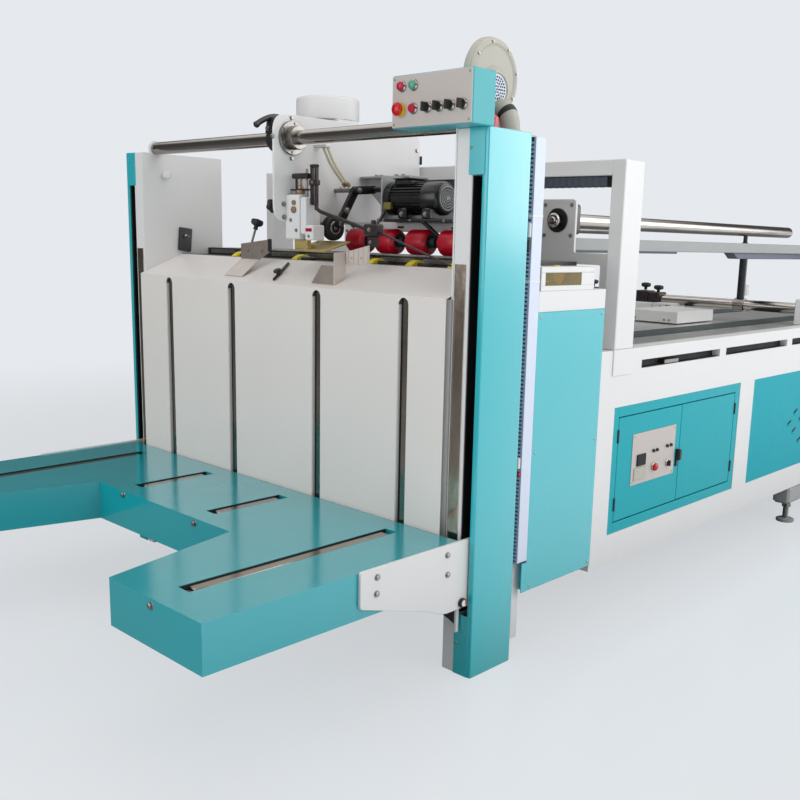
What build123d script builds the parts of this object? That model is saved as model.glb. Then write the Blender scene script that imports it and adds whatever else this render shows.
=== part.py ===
from build123d import *
from math import atan2, cos, hypot, sin
import os

# Folder gluer: front feeder with a lifting stack table, and three bays of its folding section.
# Millimetres. X across the machine, Y the way the board travels, Z up from the floor.
# While drawing, Y is 0 at the front faces of the two columns. Each piece is then moved by
# -CENTRE_Y, so the origin is on the floor below the middle of the whole machine.

HALF_WIDTH = 1121
COLUMN_HEIGHT = 1900
COLUMN_DEPTH = 225
POST_INNER = 984
SLOT_INNER = 1053
SLOT_OUTER = 1098
SHEET = 4
LID_OVERLAP = 13
LID_OUT = 1108
LID_PROUD = 3
LID_FOOT = 1750
SHOE_TOP = 230
REAR_POST_OUT = 1088
REAR_POST_END = 306
REAR_POST_FOOT = 60
DUCT_FRONT = 250
DUCT_FOOT = 367
DUCT_TOP = 1890

TABLE_TIP_Y = -1080
TABLE_ROOT_Y = -550
TABLE_BACK_Y = -34
TABLE_TOP = 513
TABLE_THICK = 155
TABLE_HALF = 1080
ARM_INNER_TIP = 591
ARM_INNER_ROOT = 460
TABLE_SLOTS = (-830, -300, 215, 830)
LONG_SLOT_Y = -975
SHORT_SLOT_Y = -465
SLOT_BACK_Y = -120
SLOT_DEEP = 24
SLOT_HALF = 30
BAR_HALF = 20
BRACKET_THICK = 12
BRACKET_LUG_Y = 40
CARRIAGE_FOOT = 268

WALL_Y = -27
WALL_FOOT = 240
CREASE_Z = 1345
SLOPE_END_Y = 195
SLOPE_END_Z = 1436
SLOT_WIDTH = 50
SLOT_TOP = 1335
WALL_SLOTS = (-734, -254, 302, 776)

FEEDER_END_Y = 735
FEEDER_FOOT = 250
FEEDER_SIDE_Y = 306
FEEDER_CORE_TOP = 1340
PANEL_TOP = 1295
CAP_TOP = 1370
INNER_PLATE = 978
INNER_PLATE_BACK = 437

DECK_Z = 1408
DECK_TOP = 1436
REAR_DECK_Y = 352
REAR_DECK_TOP = 1468
FEED_WHEEL_Y = 276
FEED_WHEEL_Z = 1391
FEED_WHEEL_R = 68
FEED_WHEEL_WIDE = 40
FEED_SHAFT_R = 10
BEARING_X = 940
FEED_WHEELS = (-590, -150, 325, 545, 765)
RUN_GAP = 6
TROUGH_START = -700

SHAFT_Y = 70
SHAFT_Z = 1920
SHAFT_R = 28

PLATE_X = 25
PLATE_THICK = 10
PLATE_FRONT_Y = -20
PLATE_BACK_Y = 812
PLATE_FOOT = 1590
PLATE_TOP = 2010
PLATE_CORNER = 60

ROLLER_Y = 350
ROLLER_Z = 1526
ROLLER_R = 50
ROLLER_WIDE = 115
ROLLER_FIRST_X = 88
ROLLER_PITCH = 175
ROLLER_COUNT = 4
BARREL_CHAMFER = 14
HUB_WIDE = 30
HUB_R = 20
AXLE_R = 9
RUN_FIT = 0.05

MOTOR_Y = 385
MOTOR_Z = 1697
MOTOR_R = 66
MOTOR_X0 = 300
MOTOR_X1 = 600
MOTOR_BASE = 1603
MOTOR_FOOT_PLATE = 12
RAIL_Y0 = 412
RAIL_Y1 = 448
RAIL_Z0 = 1566
RAIL_Z1 = MOTOR_BASE
WHEEL_PIN = (216, 1590)
CRANK_PIN = (302, 1728)
CRANK_END = (385, 1735)
HOSE_R = 5
HOSE_BEND = 200

BLOWER_X = 950
BLOWER_Y = 228
BLOWER_Z = 2095
BLOWER_R = 131
BLOWER_WIDE = 45
EYE_Z = 2053
EYE_R = 50
FAN_MOTOR_R = 68

BED_TOP = 1124
FRAME_FOOT = 220
FRAME_OUT = 1115
FRAME_IN = 1040
REAR_END = 4750
BAY_FIRST_Y = 861
BAY_LONG = 1144
BAY_PITCH = 1299
BAY_COUNT = 3
BAY_FOOT = 348
BAY_TOP = 888
WINDOW_FIRST_Y = 1048
WINDOW_LONG = 702
WINDOW_PITCH = 766
WINDOW_COUNT = 4
WINDOW_FOOT = 1036
WINDOW_TOP = 1071
WINDOW_DEEP = 40

DOOR_FACE = 1112
DOOR_SHEET = 6
DOOR_MARGIN = 44
DOOR_GAP = 4
DOOR_PROUD = 25
DOOR_Y0 = BAY_FIRST_Y + DOOR_MARGIN
DOOR_Y1 = BAY_FIRST_Y + BAY_LONG - DOOR_MARGIN
DOOR_Z0 = BAY_FOOT + DOOR_MARGIN
DOOR_Z1 = BAY_TOP - DOOR_MARGIN
DOOR_MID = (DOOR_Y0 + DOOR_Y1) / 2
CABINET_IN = 820
FOOT_PLACES = (2845, 4600)
CROSS_BEAMS = (1100, 2080, 3380)

GANTRY_Y = 823
GANTRY_DEPTH = 137
GANTRY_POST = 62
GANTRY_TOP = 1862
GANTRY_BEAM = 60
GANTRY_FOOT = 1020
REAR_GANTRY_Y = 4430

TUBE_X = 650
TUBE_Z = 1635
TUBE_R = 32
TUBE_FRONT_Y = 1000
TUBE_END_Y = 3500
BEAM_FOOT = 1508
BEAM_TOP = 1562
BEAM_HALF = 60
GUARD_FOOT = 1474
GUARD_Y = 2700
SUPPORT_Y = 1050
SUPPORT_THICK = 14
LOW_SHAFT_Y = 2905
LOW_SHAFT_Z = 1210
LOW_SHAFT_R = 30
CARRIAGE_STARTS = (-40, -430)
BELT_BOX_Y = 2230
BELT_BOX_TOP = 1190
CARRIAGE_TOP = 1258

CENTRE_Y = (TABLE_TIP_Y + REAR_END) / 2

os.makedirs("parts", exist_ok=True)


def save(name, shape):
    """Move a piece so that the machine's middle is over the origin, and write it."""
    export_step(Pos(0, -CENTRE_Y, 0) * shape, f"parts/{name}.step")


def block(x0, x1, y0, y1, z0, z1):
    """A box between two planes each way."""
    return Pos((x0 + x1) / 2, (y0 + y1) / 2, (z0 + z1) / 2) * Box(x1 - x0, y1 - y0, z1 - z0)


def rod_x(x0, x1, y, z, radius):
    """A round bar along X."""
    return Pos((x0 + x1) / 2, y, z) * Rot(0, 90, 0) * Cylinder(radius, x1 - x0)


def rod_y(x, y0, y1, z, radius):
    """A round bar along Y."""
    return Pos(x, (y0 + y1) / 2, z) * Rot(90, 0, 0) * Cylinder(radius, y1 - y0)


def rod_z(x, y, z0, z1, radius):
    """A round bar along Z."""
    return Pos(x, y, (z0 + z1) / 2) * Cylinder(radius, z1 - z0)


def side_profile(points, x0, x1):
    """A closed outline of (y, z) points, carried from x0 to x1."""
    face = make_face(Polyline(*[(x0, y, z) for y, z in points], close=True))
    return extrude(face, x1 - x0, dir=(1, 0, 0))


def plan_profile(points, z0, z1):
    """A closed outline of (x, y) points, carried from z0 to z1."""
    face = make_face(Polyline(*[(x, y, z0) for x, y in points], close=True))
    return extrude(face, z1 - z0, dir=(0, 0, 1))


def front_profile(points, y0, y1):
    """A closed outline of (x, z) points, carried from y0 to y1."""
    face = make_face(Polyline(*[(x, y0, z) for x, z in points], close=True))
    return extrude(face, y1 - y0, dir=(0, 1, 0))


def flat_bar(x0, x1, start, end, half):
    """A bar from x0 to x1, with its middle line from start to end in Y and Z."""
    run_y = end[0] - start[0]
    run_z = end[1] - start[1]
    long = hypot(run_y, run_z)
    off_y = -run_z / long * half
    off_z = run_y / long * half
    points = [
        (start[0] + off_y, start[1] + off_z),
        (end[0] + off_y, end[1] + off_z),
        (end[0] - off_y, end[1] - off_z),
        (start[0] - off_y, start[1] - off_z),
    ]
    return side_profile(points, x0, x1)


def slim_rod(start, end, radius):
    """A thin round rod between two points."""
    return extrude(Plane(start, z_dir=Vector(*end) - Vector(*start)) * Circle(radius),
                   (Vector(*end) - Vector(*start)).length)


def both_sides(shape):
    """A piece and its mirror image on the other side of the machine."""
    return shape + mirror(shape, about=Plane.YZ)


def slope_z(y):
    """Height of the wall's sloped top at a place along Y."""
    return CREASE_Z + (y - WALL_Y) * (SLOPE_END_Z - CREASE_Z) / (SLOPE_END_Y - WALL_Y)


# Columns


def column_posts():
    """A box post with a shallower one welded behind it, which carries the cable duct."""
    post = block(POST_INNER, SLOT_INNER, 0, COLUMN_DEPTH + 12, 0, COLUMN_HEIGHT)
    rear = block(SLOT_INNER, REAR_POST_OUT, COLUMN_DEPTH, REAR_POST_END, REAR_POST_FOOT,
                 COLUMN_HEIGHT)
    return both_sides(post + rear)


def column_covers():
    """Folded sheet round the column, its cap, and the lid and shoe that close the front slot."""
    face = block(HALF_WIDTH - SHEET, HALF_WIDTH, 0, COLUMN_DEPTH, 0, COLUMN_HEIGHT)
    flange = block(SLOT_OUTER, HALF_WIDTH - SHEET, 0, SHEET, 0, COLUMN_HEIGHT)
    rear = block(REAR_POST_OUT, HALF_WIDTH - SHEET, COLUMN_DEPTH - SHEET, COLUMN_DEPTH,
                 0, COLUMN_HEIGHT)
    lid = block(SLOT_INNER - LID_OVERLAP, LID_OUT, -LID_PROUD, 0, LID_FOOT, COLUMN_HEIGHT)
    shoe = block(SLOT_INNER - LID_OVERLAP, LID_OUT, -LID_PROUD, 0, 0, SHOE_TOP)
    cap = block(SLOT_INNER, HALF_WIDTH - SHEET, 0, COLUMN_DEPTH, COLUMN_HEIGHT - SHEET,
                COLUMN_HEIGHT)
    return both_sides(face + flange + rear + lid + shoe + cap)


def cable_ducts():
    return both_sides(block(REAR_POST_OUT, HALF_WIDTH, DUCT_FRONT, REAR_POST_END, DUCT_FOOT,
                            DUCT_TOP))


def side_plates():
    plate = block(INNER_PLATE, POST_INNER, 0, INNER_PLATE_BACK, FEEDER_CORE_TOP, COLUMN_HEIGHT)
    notch = rod_x(INNER_PLATE - 1, POST_INNER + 1, SHAFT_Y, SHAFT_Z, SHAFT_R + RUN_FIT)
    return both_sides(plate - notch)


# Feeder


def front_wall():
    slope = atan2(SLOPE_END_Z - CREASE_Z, SLOPE_END_Y - WALL_Y)
    inner_y = SLOPE_END_Y + SHEET * sin(slope)
    inner_z = SLOPE_END_Z - SHEET * cos(slope)
    bend_y = WALL_Y + SHEET
    bend_z = inner_z - (inner_y - bend_y) * sin(slope) / cos(slope)
    outline = [
        (WALL_Y, WALL_FOOT),
        (WALL_Y, CREASE_Z),
        (SLOPE_END_Y, SLOPE_END_Z),
        (inner_y, inner_z),
        (bend_y, bend_z),
        (bend_y, WALL_FOOT),
    ]
    wall = side_profile(outline, -INNER_PLATE, INNER_PLATE)
    for middle in WALL_SLOTS:
        left = middle - SLOT_WIDTH / 2
        wall -= block(left, left + SLOT_WIDTH, WALL_Y - 1, bend_y + 1, WALL_FOOT - 1, SLOT_TOP)
    return wall


def wall_strips():
    """Polished strips behind the wall's slots, and one on the front of each post."""
    strip_y = WALL_Y + 10
    strips = both_sides(block(POST_INNER + 8, SLOT_INNER - 8, -3, 0, 300, 1460))
    for middle in WALL_SLOTS:
        strips += block(middle - 10, middle + SLOT_WIDTH / 2, strip_y, strip_y + 8,
                        WALL_FOOT, SLOT_TOP)
    return strips


def feeder_body():
    between = block(-INNER_PLATE, INNER_PLATE, 0, FEEDER_END_Y, FEEDER_FOOT, FEEDER_CORE_TOP)
    behind = block(SHEET - HALF_WIDTH, HALF_WIDTH - SHEET, FEEDER_SIDE_Y, FEEDER_END_Y,
                   FEEDER_FOOT, PANEL_TOP)
    room = FEED_WHEEL_R + RUN_GAP
    trough = block(TROUGH_START, BEARING_X, FEED_WHEEL_Y - room, FEED_WHEEL_Y + room,
                   FEED_WHEEL_Z - room, FEEDER_CORE_TOP + 1)
    return between + behind - trough


def feeder_panels():
    """Side panels, each with a tab that runs forward below the end of the cable duct."""
    panel = block(HALF_WIDTH - SHEET, HALF_WIDTH, FEEDER_SIDE_Y, FEEDER_END_Y, FEEDER_FOOT,
                  PANEL_TOP)
    tab = block(HALF_WIDTH - SHEET, HALF_WIDTH, FEEDER_SIDE_Y - 28, FEEDER_SIDE_Y, FEEDER_FOOT,
                DUCT_FOOT - 2)
    return both_sides(panel + tab)


def feeder_caps():
    """White band over the side panels, and the belt housing with its window."""
    band = block(POST_INNER, HALF_WIDTH, FEEDER_SIDE_Y, FEEDER_END_Y, PANEL_TOP, CAP_TOP)
    housing = block(1040, HALF_WIDTH, 315, 650, CAP_TOP, 1455)
    window = block(1100, HALF_WIDTH + 1, 340, 565, 1388, 1434)
    return both_sides(band + housing - window)


def feed_deck():
    """Black deck with a slot for each feed wheel, its raised rear part and its two cheeks."""
    deck_front = SLOPE_END_Y + 2
    deck = block(-INNER_PLATE, INNER_PLATE, deck_front, FEEDER_END_Y, DECK_Z, DECK_TOP)
    cheek = block(BEARING_X, INNER_PLATE, deck_front, FEEDER_END_Y, FEEDER_CORE_TOP, DECK_Z)
    cheek -= rod_x(BEARING_X - 1, INNER_PLATE, FEED_WHEEL_Y, FEED_WHEEL_Z, FEED_SHAFT_R + RUN_FIT)
    deck += both_sides(cheek)
    deck += block(-INNER_PLATE, INNER_PLATE, FEEDER_END_Y - 20, FEEDER_END_Y,
                  FEEDER_CORE_TOP, DECK_Z)
    deck += block(-INNER_PLATE, INNER_PLATE, REAR_DECK_Y, FEEDER_END_Y, DECK_TOP, REAR_DECK_TOP)
    half = FEED_WHEEL_WIDE / 2 + RUN_GAP
    room = FEED_WHEEL_R + RUN_GAP - 1
    for middle in FEED_WHEELS:
        deck -= block(middle - half, middle + half, FEED_WHEEL_Y - room, FEED_WHEEL_Y + room,
                      DECK_Z - 1, DECK_TOP + 1)
    return deck


def feed_wheels():
    """Yellow wheels on their own shaft, which turns in the two deck ends."""
    end = BEARING_X + 20
    shaft = rod_x(-end, end, FEED_WHEEL_Y, FEED_WHEEL_Z, FEED_SHAFT_R)
    half = FEED_WHEEL_WIDE / 2
    for middle in FEED_WHEELS:
        shaft += rod_x(middle - half, middle + half, FEED_WHEEL_Y, FEED_WHEEL_Z, FEED_WHEEL_R)
    return shaft


def sheet_guides():
    """Two folded stainless guides that stand on the sloped top and steer the stack."""
    ramp = side_profile([(10, 1361), (98, 1430), (98, 1434), (10, 1365)], -352, -225)
    upright = front_profile([(-352, 1430), (-225, 1430), (-142, 1472), (-142, 1521),
                             (-352, 1498)], 98, 101)
    cheek = side_profile([(0, slope_z(0)), (60, slope_z(60)), (60, 1482), (0, 1478)], 372, 375)
    gusset = front_profile([(241, 1359), (372, 1359), (372, 1430), (300, 1430)], 0, 3)
    ribbed = front_profile([(372, 1437), (505, 1437), (505, 1511), (372, 1482)], 60, 63)
    return ramp + upright + cheek + gusset + ribbed


def cross_shaft():
    return rod_x(-POST_INNER, POST_INNER, SHAFT_Y, SHAFT_Z, SHAFT_R)


# Control box and blower


def control_box():
    """Sheet box on the column's top, with a face plate on its front."""
    box = block(763, HALF_WIDTH, -85, 25, COLUMN_HEIGHT, 2070)
    return box + block(766, HALF_WIDTH - 3, -88, -85, COLUMN_HEIGHT + 3, 2067)


def control_buttons():
    face_y = -88
    lamp_z = 2033
    row_z = 1960
    keys = rod_y(812, face_y - 16, face_y, lamp_z, 17)
    keys += rod_y(866, face_y - 16, face_y, lamp_z, 17)
    keys += rod_y(806, face_y - 30, face_y, row_z, 22)
    keys += rod_y(866, face_y - 16, face_y, row_z, 17)
    for middle in (929, 980, 1031, 1084):
        keys += rod_y(middle, face_y - 8, face_y, row_z, 17)
        keys += block(middle - 6, middle + 6, face_y - 32, face_y - 8, row_z - 14, row_z + 14)
    return keys


def blower_housing():
    """Round fan case with its intake eye below the middle, and the motor behind it."""
    inner_x = BLOWER_X - BLOWER_WIDE
    wheel_case = rod_x(inner_x, BLOWER_X, BLOWER_Y, BLOWER_Z, BLOWER_R)
    eye = rod_x(BLOWER_X, BLOWER_X + 12, BLOWER_Y, EYE_Z, EYE_R + 14)
    motor = rod_x(inner_x - 190, inner_x, BLOWER_Y, EYE_Z, FAN_MOTOR_R)
    return wheel_case + eye + motor


def blower_outlet():
    """Outlet neck under the housing and the bracket that holds the blower on the column."""
    foot = COLUMN_HEIGHT + 8
    base = block(880, SLOT_INNER, 130, 310, COLUMN_HEIGHT, foot)
    saddle = block(908, 945, 150, 300, foot, BLOWER_Z - 80)
    neck = block(965, 1040, 210, 290, foot, 1985)
    web = block(945, 965, 210, 290, foot, 1980)
    case = rod_x(BLOWER_X - BLOWER_WIDE - 1, BLOWER_X + 1, BLOWER_Y, BLOWER_Z, BLOWER_R)
    eye = rod_x(BLOWER_X, BLOWER_X + 13, BLOWER_Y, EYE_Z, EYE_R + 14)
    return base + saddle + neck + web - case - eye


# Head on the cross shaft


def head_plate():
    outline = block(PLATE_X, PLATE_X + PLATE_THICK, PLATE_FRONT_Y, PLATE_BACK_Y,
                    PLATE_FOOT, PLATE_TOP)
    plate = fillet(outline.edges().filter_by(Axis.X), PLATE_CORNER)
    return plate - rod_x(PLATE_X - 1, PLATE_X + PLATE_THICK + 1, SHAFT_Y, SHAFT_Z,
                         SHAFT_R + RUN_FIT)


def shaft_collar():
    face_x = PLATE_X + PLATE_THICK
    collar = rod_x(face_x, face_x + 14, SHAFT_Y, SHAFT_Z, 66)
    collar += rod_x(face_x + 14, face_x + 52, SHAFT_Y, SHAFT_Z, 46)
    return collar - rod_x(face_x - 1, face_x + 53, SHAFT_Y, SHAFT_Z, SHAFT_R + RUN_FIT)


def head_clamps():
    """Split clamp with its lever on the shaft, and a star knob low on the plate."""
    ring = rod_x(PLATE_X - 92, PLATE_X, SHAFT_Y, SHAFT_Z, 52)
    ring += block(PLATE_X - 75, PLATE_X - 40, SHAFT_Y - 70, SHAFT_Y - 30, 1935, 2000)
    lever = [(-4, 1994), (-4, 2016), (-70, 2010), (-112, 1976), (-104, 1960), (-64, 1990)]
    ring += side_profile([(SHAFT_Y + 4 + y, z) for y, z in lever], PLATE_X - 68, PLATE_X - 48)
    ring -= rod_x(PLATE_X - 93, PLATE_X + 1, SHAFT_Y, SHAFT_Z, SHAFT_R + RUN_FIT)
    knob = rod_x(PLATE_X - 34, PLATE_X - 14, 14, 1655, 25)
    knob += rod_x(PLATE_X - 14, PLATE_X, 14, 1655, 10)
    return ring + knob


def head_drum():
    radius = 135
    middle_x = PLATE_X - radius
    drum = rod_z(middle_x, 385, 2022, 2118, radius)
    drum += block(PLATE_X - 90, PLATE_X, 325, 445, 1960, 2022)
    return drum


def head_motor():
    """Finned motor with its terminal box on top and its feet below."""
    case = rod_x(MOTOR_X0, MOTOR_X1, MOTOR_Y, MOTOR_Z, MOTOR_R)
    box = block(350, 440, MOTOR_Y - 45, MOTOR_Y + 45, MOTOR_Z + 50, MOTOR_Z + 78)
    foot = MOTOR_BASE + MOTOR_FOOT_PLATE
    feet = block(400, 445, MOTOR_Y - 75, MOTOR_Y + 75, foot, MOTOR_Z - 40)
    feet += block(530, 575, MOTOR_Y - 75, MOTOR_Y + 75, foot, MOTOR_Z - 40)
    return case + box + feet


def motor_bracket():
    """Grey shelf from the plate to the motor's flange, and the black foot plate below."""
    face_x = PLATE_X + PLATE_THICK
    web_x = MOTOR_X0 - 8
    shelf = block(face_x, 330, 440, 560, 1786, 1794)
    web = block(web_x, MOTOR_X0, 320, 560, MOTOR_BASE, 1786)
    brace = front_profile([(face_x, 1786), (face_x, 1760), (180, 1640), (web_x, 1640),
                           (web_x, 1786)], 470, 476)
    foot = block(web_x, 700, 300, 470, MOTOR_BASE, MOTOR_BASE + MOTOR_FOOT_PLATE)
    return shelf + web + brace + foot


def head_casting():
    """White casting and the block beside it, with two adjusting rods and a cross bar on top."""
    face_x = PLATE_X + PLATE_THICK
    casting = block(face_x, 150, -8, 90, 1524, 1700)
    casting += block(150, 215, -2, 60, 1520, 1622)
    casting += rod_z(85, 30, 1700, 1762, 9) + rod_z(125, 30, 1700, 1800, 6)
    return casting + block(60, 150, 12, 48, 1762, 1780)


def guide_bars():
    """Two upright bars beside the casting and the long arm down to the feed clamp."""
    bars = block(150, 166, 22, 38, 1660, 1815) + block(172, 188, 22, 38, 1636, 1815)
    bars += block(150, 188, 20, 40, 1745, 1757)
    arm = slim_rod((184, 30, 1648), (480, 30, 1568), 8)
    clamp = block(470, 540, 12, 60, 1540, 1592)
    feeler = slim_rod((535, 36, 1560), (900, 36, 1440), 4)
    return bars + arm + clamp + feeler


def head_wheel():
    wheel = rod_x(104, 140, 216, 1574, 52)
    return wheel + rod_x(PLATE_X + PLATE_THICK, 104, *WHEEL_PIN, 8)


def crank_arms():
    """Black crank arms between the head plate and the motor."""
    lower = flat_bar(150, 168, WHEEL_PIN, CRANK_PIN, 17)
    lower += rod_x(140, 168, *WHEEL_PIN, 17)
    upper = flat_bar(168, 186, CRANK_PIN, CRANK_END, 17)
    pin = rod_x(PLATE_X + PLATE_THICK, 186, *CRANK_PIN, 9)
    tie = rod_x(186, MOTOR_X0 - 8, *CRANK_END, 12)
    return lower + upper + pin + tie


def head_hoses():
    """Two thin hoses in a wide bend from a clip at the plate's top down to the crank's joint."""
    hoses = block(PLATE_X + PLATE_THICK, 112, 184, 214, 1893, 1905)
    for run in (((82, 195, 1893), (92, 225, 1825), (112, 288, 1746)),
                ((100, 203, 1893), (110, 232, 1825), (132, 292, 1746))):
        path = FilletPolyline(*run, radius=HOSE_BEND)
        hoses += sweep(Plane(origin=path @ 0, z_dir=path % 0) * Circle(HOSE_R), path=path)
    return hoses


def sole_plate():
    """Brass plate that slopes up from the front, on a foot under the casting."""
    plate = side_profile([(60, 1478), (190, 1514), (190, 1522), (60, 1486)], 60, 255)
    return plate + block(60, 140, 62, 85, 1486, 1524)


def roller_rail():
    """White bar across the feeder that carries the roller arms."""
    return block(PLATE_X + PLATE_THICK, INNER_PLATE, RAIL_Y0, RAIL_Y1, RAIL_Z0, RAIL_Z1)


def roller_arms():
    arms = None
    for index in range(ROLLER_COUNT + 1):
        middle = ROLLER_FIRST_X + index * ROLLER_PITCH - HUB_WIDE / 2
        arm = flat_bar(middle - 6, middle + 6, (ROLLER_Y, ROLLER_Z), (RAIL_Y0 + 22, RAIL_Z0 - 22), 14)
        arm += rod_x(middle - 6, middle + 6, ROLLER_Y, ROLLER_Z, HUB_R)
        arm += block(middle - 6, middle + 6, RAIL_Y0 + 4, RAIL_Y1, RAIL_Z0 - 34, RAIL_Z0)
        arm -= rod_x(middle - 7, middle + 7, ROLLER_Y, ROLLER_Z, AXLE_R + RUN_FIT)
        arms = arm if arms is None else arms + arm
    return arms


def press_rollers():
    """Red barrel rollers with chamfered ends and black hubs, all on one through axle."""
    first = ROLLER_FIRST_X - HUB_WIDE / 2 - 10
    last = ROLLER_FIRST_X + ROLLER_COUNT * ROLLER_PITCH - HUB_WIDE / 2 + 10
    rollers = rod_x(first, last, ROLLER_Y, ROLLER_Z, AXLE_R)
    for index in range(ROLLER_COUNT):
        left = ROLLER_FIRST_X + index * ROLLER_PITCH
        barrel = rod_x(left, left + ROLLER_WIDE, ROLLER_Y, ROLLER_Z, ROLLER_R)
        barrel = chamfer(barrel.edges().filter_by(GeomType.CIRCLE), BARREL_CHAMFER)
        hub_end = left + ROLLER_WIDE + HUB_WIDE
        rollers += barrel + rod_x(left + ROLLER_WIDE, hub_end, ROLLER_Y, ROLLER_Z, HUB_R)
    return rollers


# Lifting table


def table_slot(x, near, far, bar):
    """Room of a slot in the table's top, or the polished bar that lies in it."""
    if bar:
        return block(x - BAR_HALF, x + BAR_HALF, near + 30, far - 30, TABLE_TOP - SLOT_DEEP,
                     TABLE_TOP - 4)
    return block(x - SLOT_HALF, x + SLOT_HALF, near, far, TABLE_TOP - SLOT_DEEP, TABLE_TOP + 1)


def slot_runs(bar):
    """The four slots or bars: two long ones that run out over the arms, two short ones."""
    runs = None
    for x, near in ((TABLE_SLOTS[0], LONG_SLOT_Y), (TABLE_SLOTS[1], SHORT_SLOT_Y),
                    (TABLE_SLOTS[2], SHORT_SLOT_Y), (TABLE_SLOTS[3], LONG_SLOT_Y)):
        run = table_slot(x, near, SLOT_BACK_Y, bar)
        runs = run if runs is None else runs + run
    return runs


def table_back():
    back = block(-TABLE_HALF, TABLE_HALF, TABLE_ROOT_Y, TABLE_BACK_Y,
                 TABLE_TOP - TABLE_THICK, TABLE_TOP)
    return back - slot_runs(False)


def table_bars():
    return slot_runs(True)


def table_arms():
    outline = [
        (ARM_INNER_ROOT, TABLE_ROOT_Y),
        (ARM_INNER_TIP, TABLE_TIP_Y),
        (TABLE_HALF, TABLE_TIP_Y),
        (TABLE_HALF, TABLE_ROOT_Y),
    ]
    arms = both_sides(plan_profile(outline, TABLE_TOP - TABLE_THICK, TABLE_TOP))
    return arms - slot_runs(False)


def table_brackets():
    """White side brackets, each with its carriage inside the column and a small front gusset."""
    plate_out = TABLE_HALF + BRACKET_THICK
    outline = [
        (-510, TABLE_TOP - 118),
        (-510, TABLE_TOP + 4),
        (BRACKET_LUG_Y, TABLE_TOP + 4),
        (BRACKET_LUG_Y, CARRIAGE_FOOT),
        (-120, CARRIAGE_FOOT),
        (-190, 300),
    ]
    plate = side_profile(outline, TABLE_HALF, plate_out)
    carriage = block(SLOT_INNER + 7, TABLE_HALF, 14, 190, CARRIAGE_FOOT + 2, 500)
    carriage += block(TABLE_HALF, plate_out, BRACKET_LUG_Y, 190, CARRIAGE_FOOT + 2, 500)
    knob = rod_x(plate_out, plate_out + 14, -28, 290, 17)
    strip = block(1058, 1068, -24, -10, 168, 292) + block(1068, TABLE_HALF, -24, -10, 270, 292)
    gusset = front_profile([(1058, 272), (1058, 196), (985, 222), (985, 244)], -22, -14)
    return both_sides(plate + carriage + knob + strip + gusset)


# Folding section


def side_top_rails():
    rail = block(FRAME_IN, FRAME_OUT, FEEDER_END_Y, REAR_END, BAY_TOP, BED_TOP)
    for index in range(WINDOW_COUNT):
        start = WINDOW_FIRST_Y + index * WINDOW_PITCH
        rail -= block(FRAME_OUT - WINDOW_DEEP, FRAME_OUT + 1, start, start + WINDOW_LONG,
                      WINDOW_FOOT, WINDOW_TOP)
    return both_sides(rail)


def side_bottom_rails():
    return both_sides(block(FRAME_IN, FRAME_OUT, FEEDER_END_Y, REAR_END, FRAME_FOOT, BAY_FOOT))


def side_mullions():
    edges = [FEEDER_END_Y]
    for index in range(BAY_COUNT):
        start = BAY_FIRST_Y + index * BAY_PITCH
        edges += [start, start + BAY_LONG]
    edges.append(REAR_END)
    posts = None
    for near, far in zip(edges[0::2], edges[1::2]):
        post = both_sides(block(FRAME_IN, FRAME_OUT, near, far, BAY_FOOT, BAY_TOP))
        posts = post if posts is None else posts + post
    return posts


def latch(y):
    """Black lock that stands out of a door or panel."""
    return (block(DOOR_FACE, DOOR_FACE + DOOR_PROUD, y - 9, y + 9, 590, 640)
            + block(DOOR_FACE, DOOR_FACE + 8, y - 9, y + 9, 560, 590))


def bay_panel(index):
    start = BAY_FIRST_Y + index * BAY_PITCH
    return block(DOOR_FACE - DOOR_SHEET, DOOR_FACE, start, start + BAY_LONG, BAY_FOOT, BAY_TOP)


def bay_panels():
    """Teal panels of all bays but the one with the doors, those on the left with a lock."""
    panels = bay_panel(1) + bay_panel(2)
    for index in range(BAY_COUNT):
        middle = BAY_FIRST_Y + index * BAY_PITCH + BAY_LONG / 2
        panels += mirror(bay_panel(index) + latch(middle), about=Plane.YZ)
    return panels


def door_surround():
    hole = block(DOOR_FACE - 10, DOOR_FACE + 1, DOOR_Y0, DOOR_Y1, DOOR_Z0, DOOR_Z1)
    return bay_panel(0) - hole


def door_leaf(near, far):
    return block(DOOR_FACE - DOOR_SHEET, DOOR_FACE, near, far,
                 DOOR_Z0 + DOOR_GAP, DOOR_Z1 - DOOR_GAP)


def front_door():
    return door_leaf(DOOR_Y0 + DOOR_GAP, DOOR_MID - DOOR_GAP / 2)


def rear_door():
    return door_leaf(DOOR_MID + DOOR_GAP / 2, DOOR_Y1 - DOOR_GAP)


def door_controls():
    """Control plate on the front leaf with display, switches and stop button, and the lock."""
    plate = block(DOOR_FACE, DOOR_FACE + 3, 1022, 1385, 532, 756)
    face = DOOR_FACE + 3
    plate += block(face, face + 6, 1045, 1125, 612, 668)
    plate += rod_x(face, DOOR_FACE + DOOR_PROUD, 1205, 590, 17)
    plate += rod_x(face, face + 18, 1325, 588, 14)
    plate += block(face, face + 8, 1190, 1225, 655, 672)
    plate += block(face, face + 8, 1310, 1345, 640, 657)
    return plate + latch(1408)


def cabinet_shell():
    """Steel box behind the door that holds the electrical gear."""
    outer = block(CABINET_IN, FRAME_IN, BAY_FIRST_Y, BAY_FIRST_Y + BAY_LONG, BAY_FOOT, BAY_TOP)
    room = block(CABINET_IN + SHEET, FRAME_IN + 1, BAY_FIRST_Y + SHEET,
                 BAY_FIRST_Y + BAY_LONG - SHEET, BAY_FOOT + SHEET, BAY_TOP - SHEET)
    return outer - room


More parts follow.
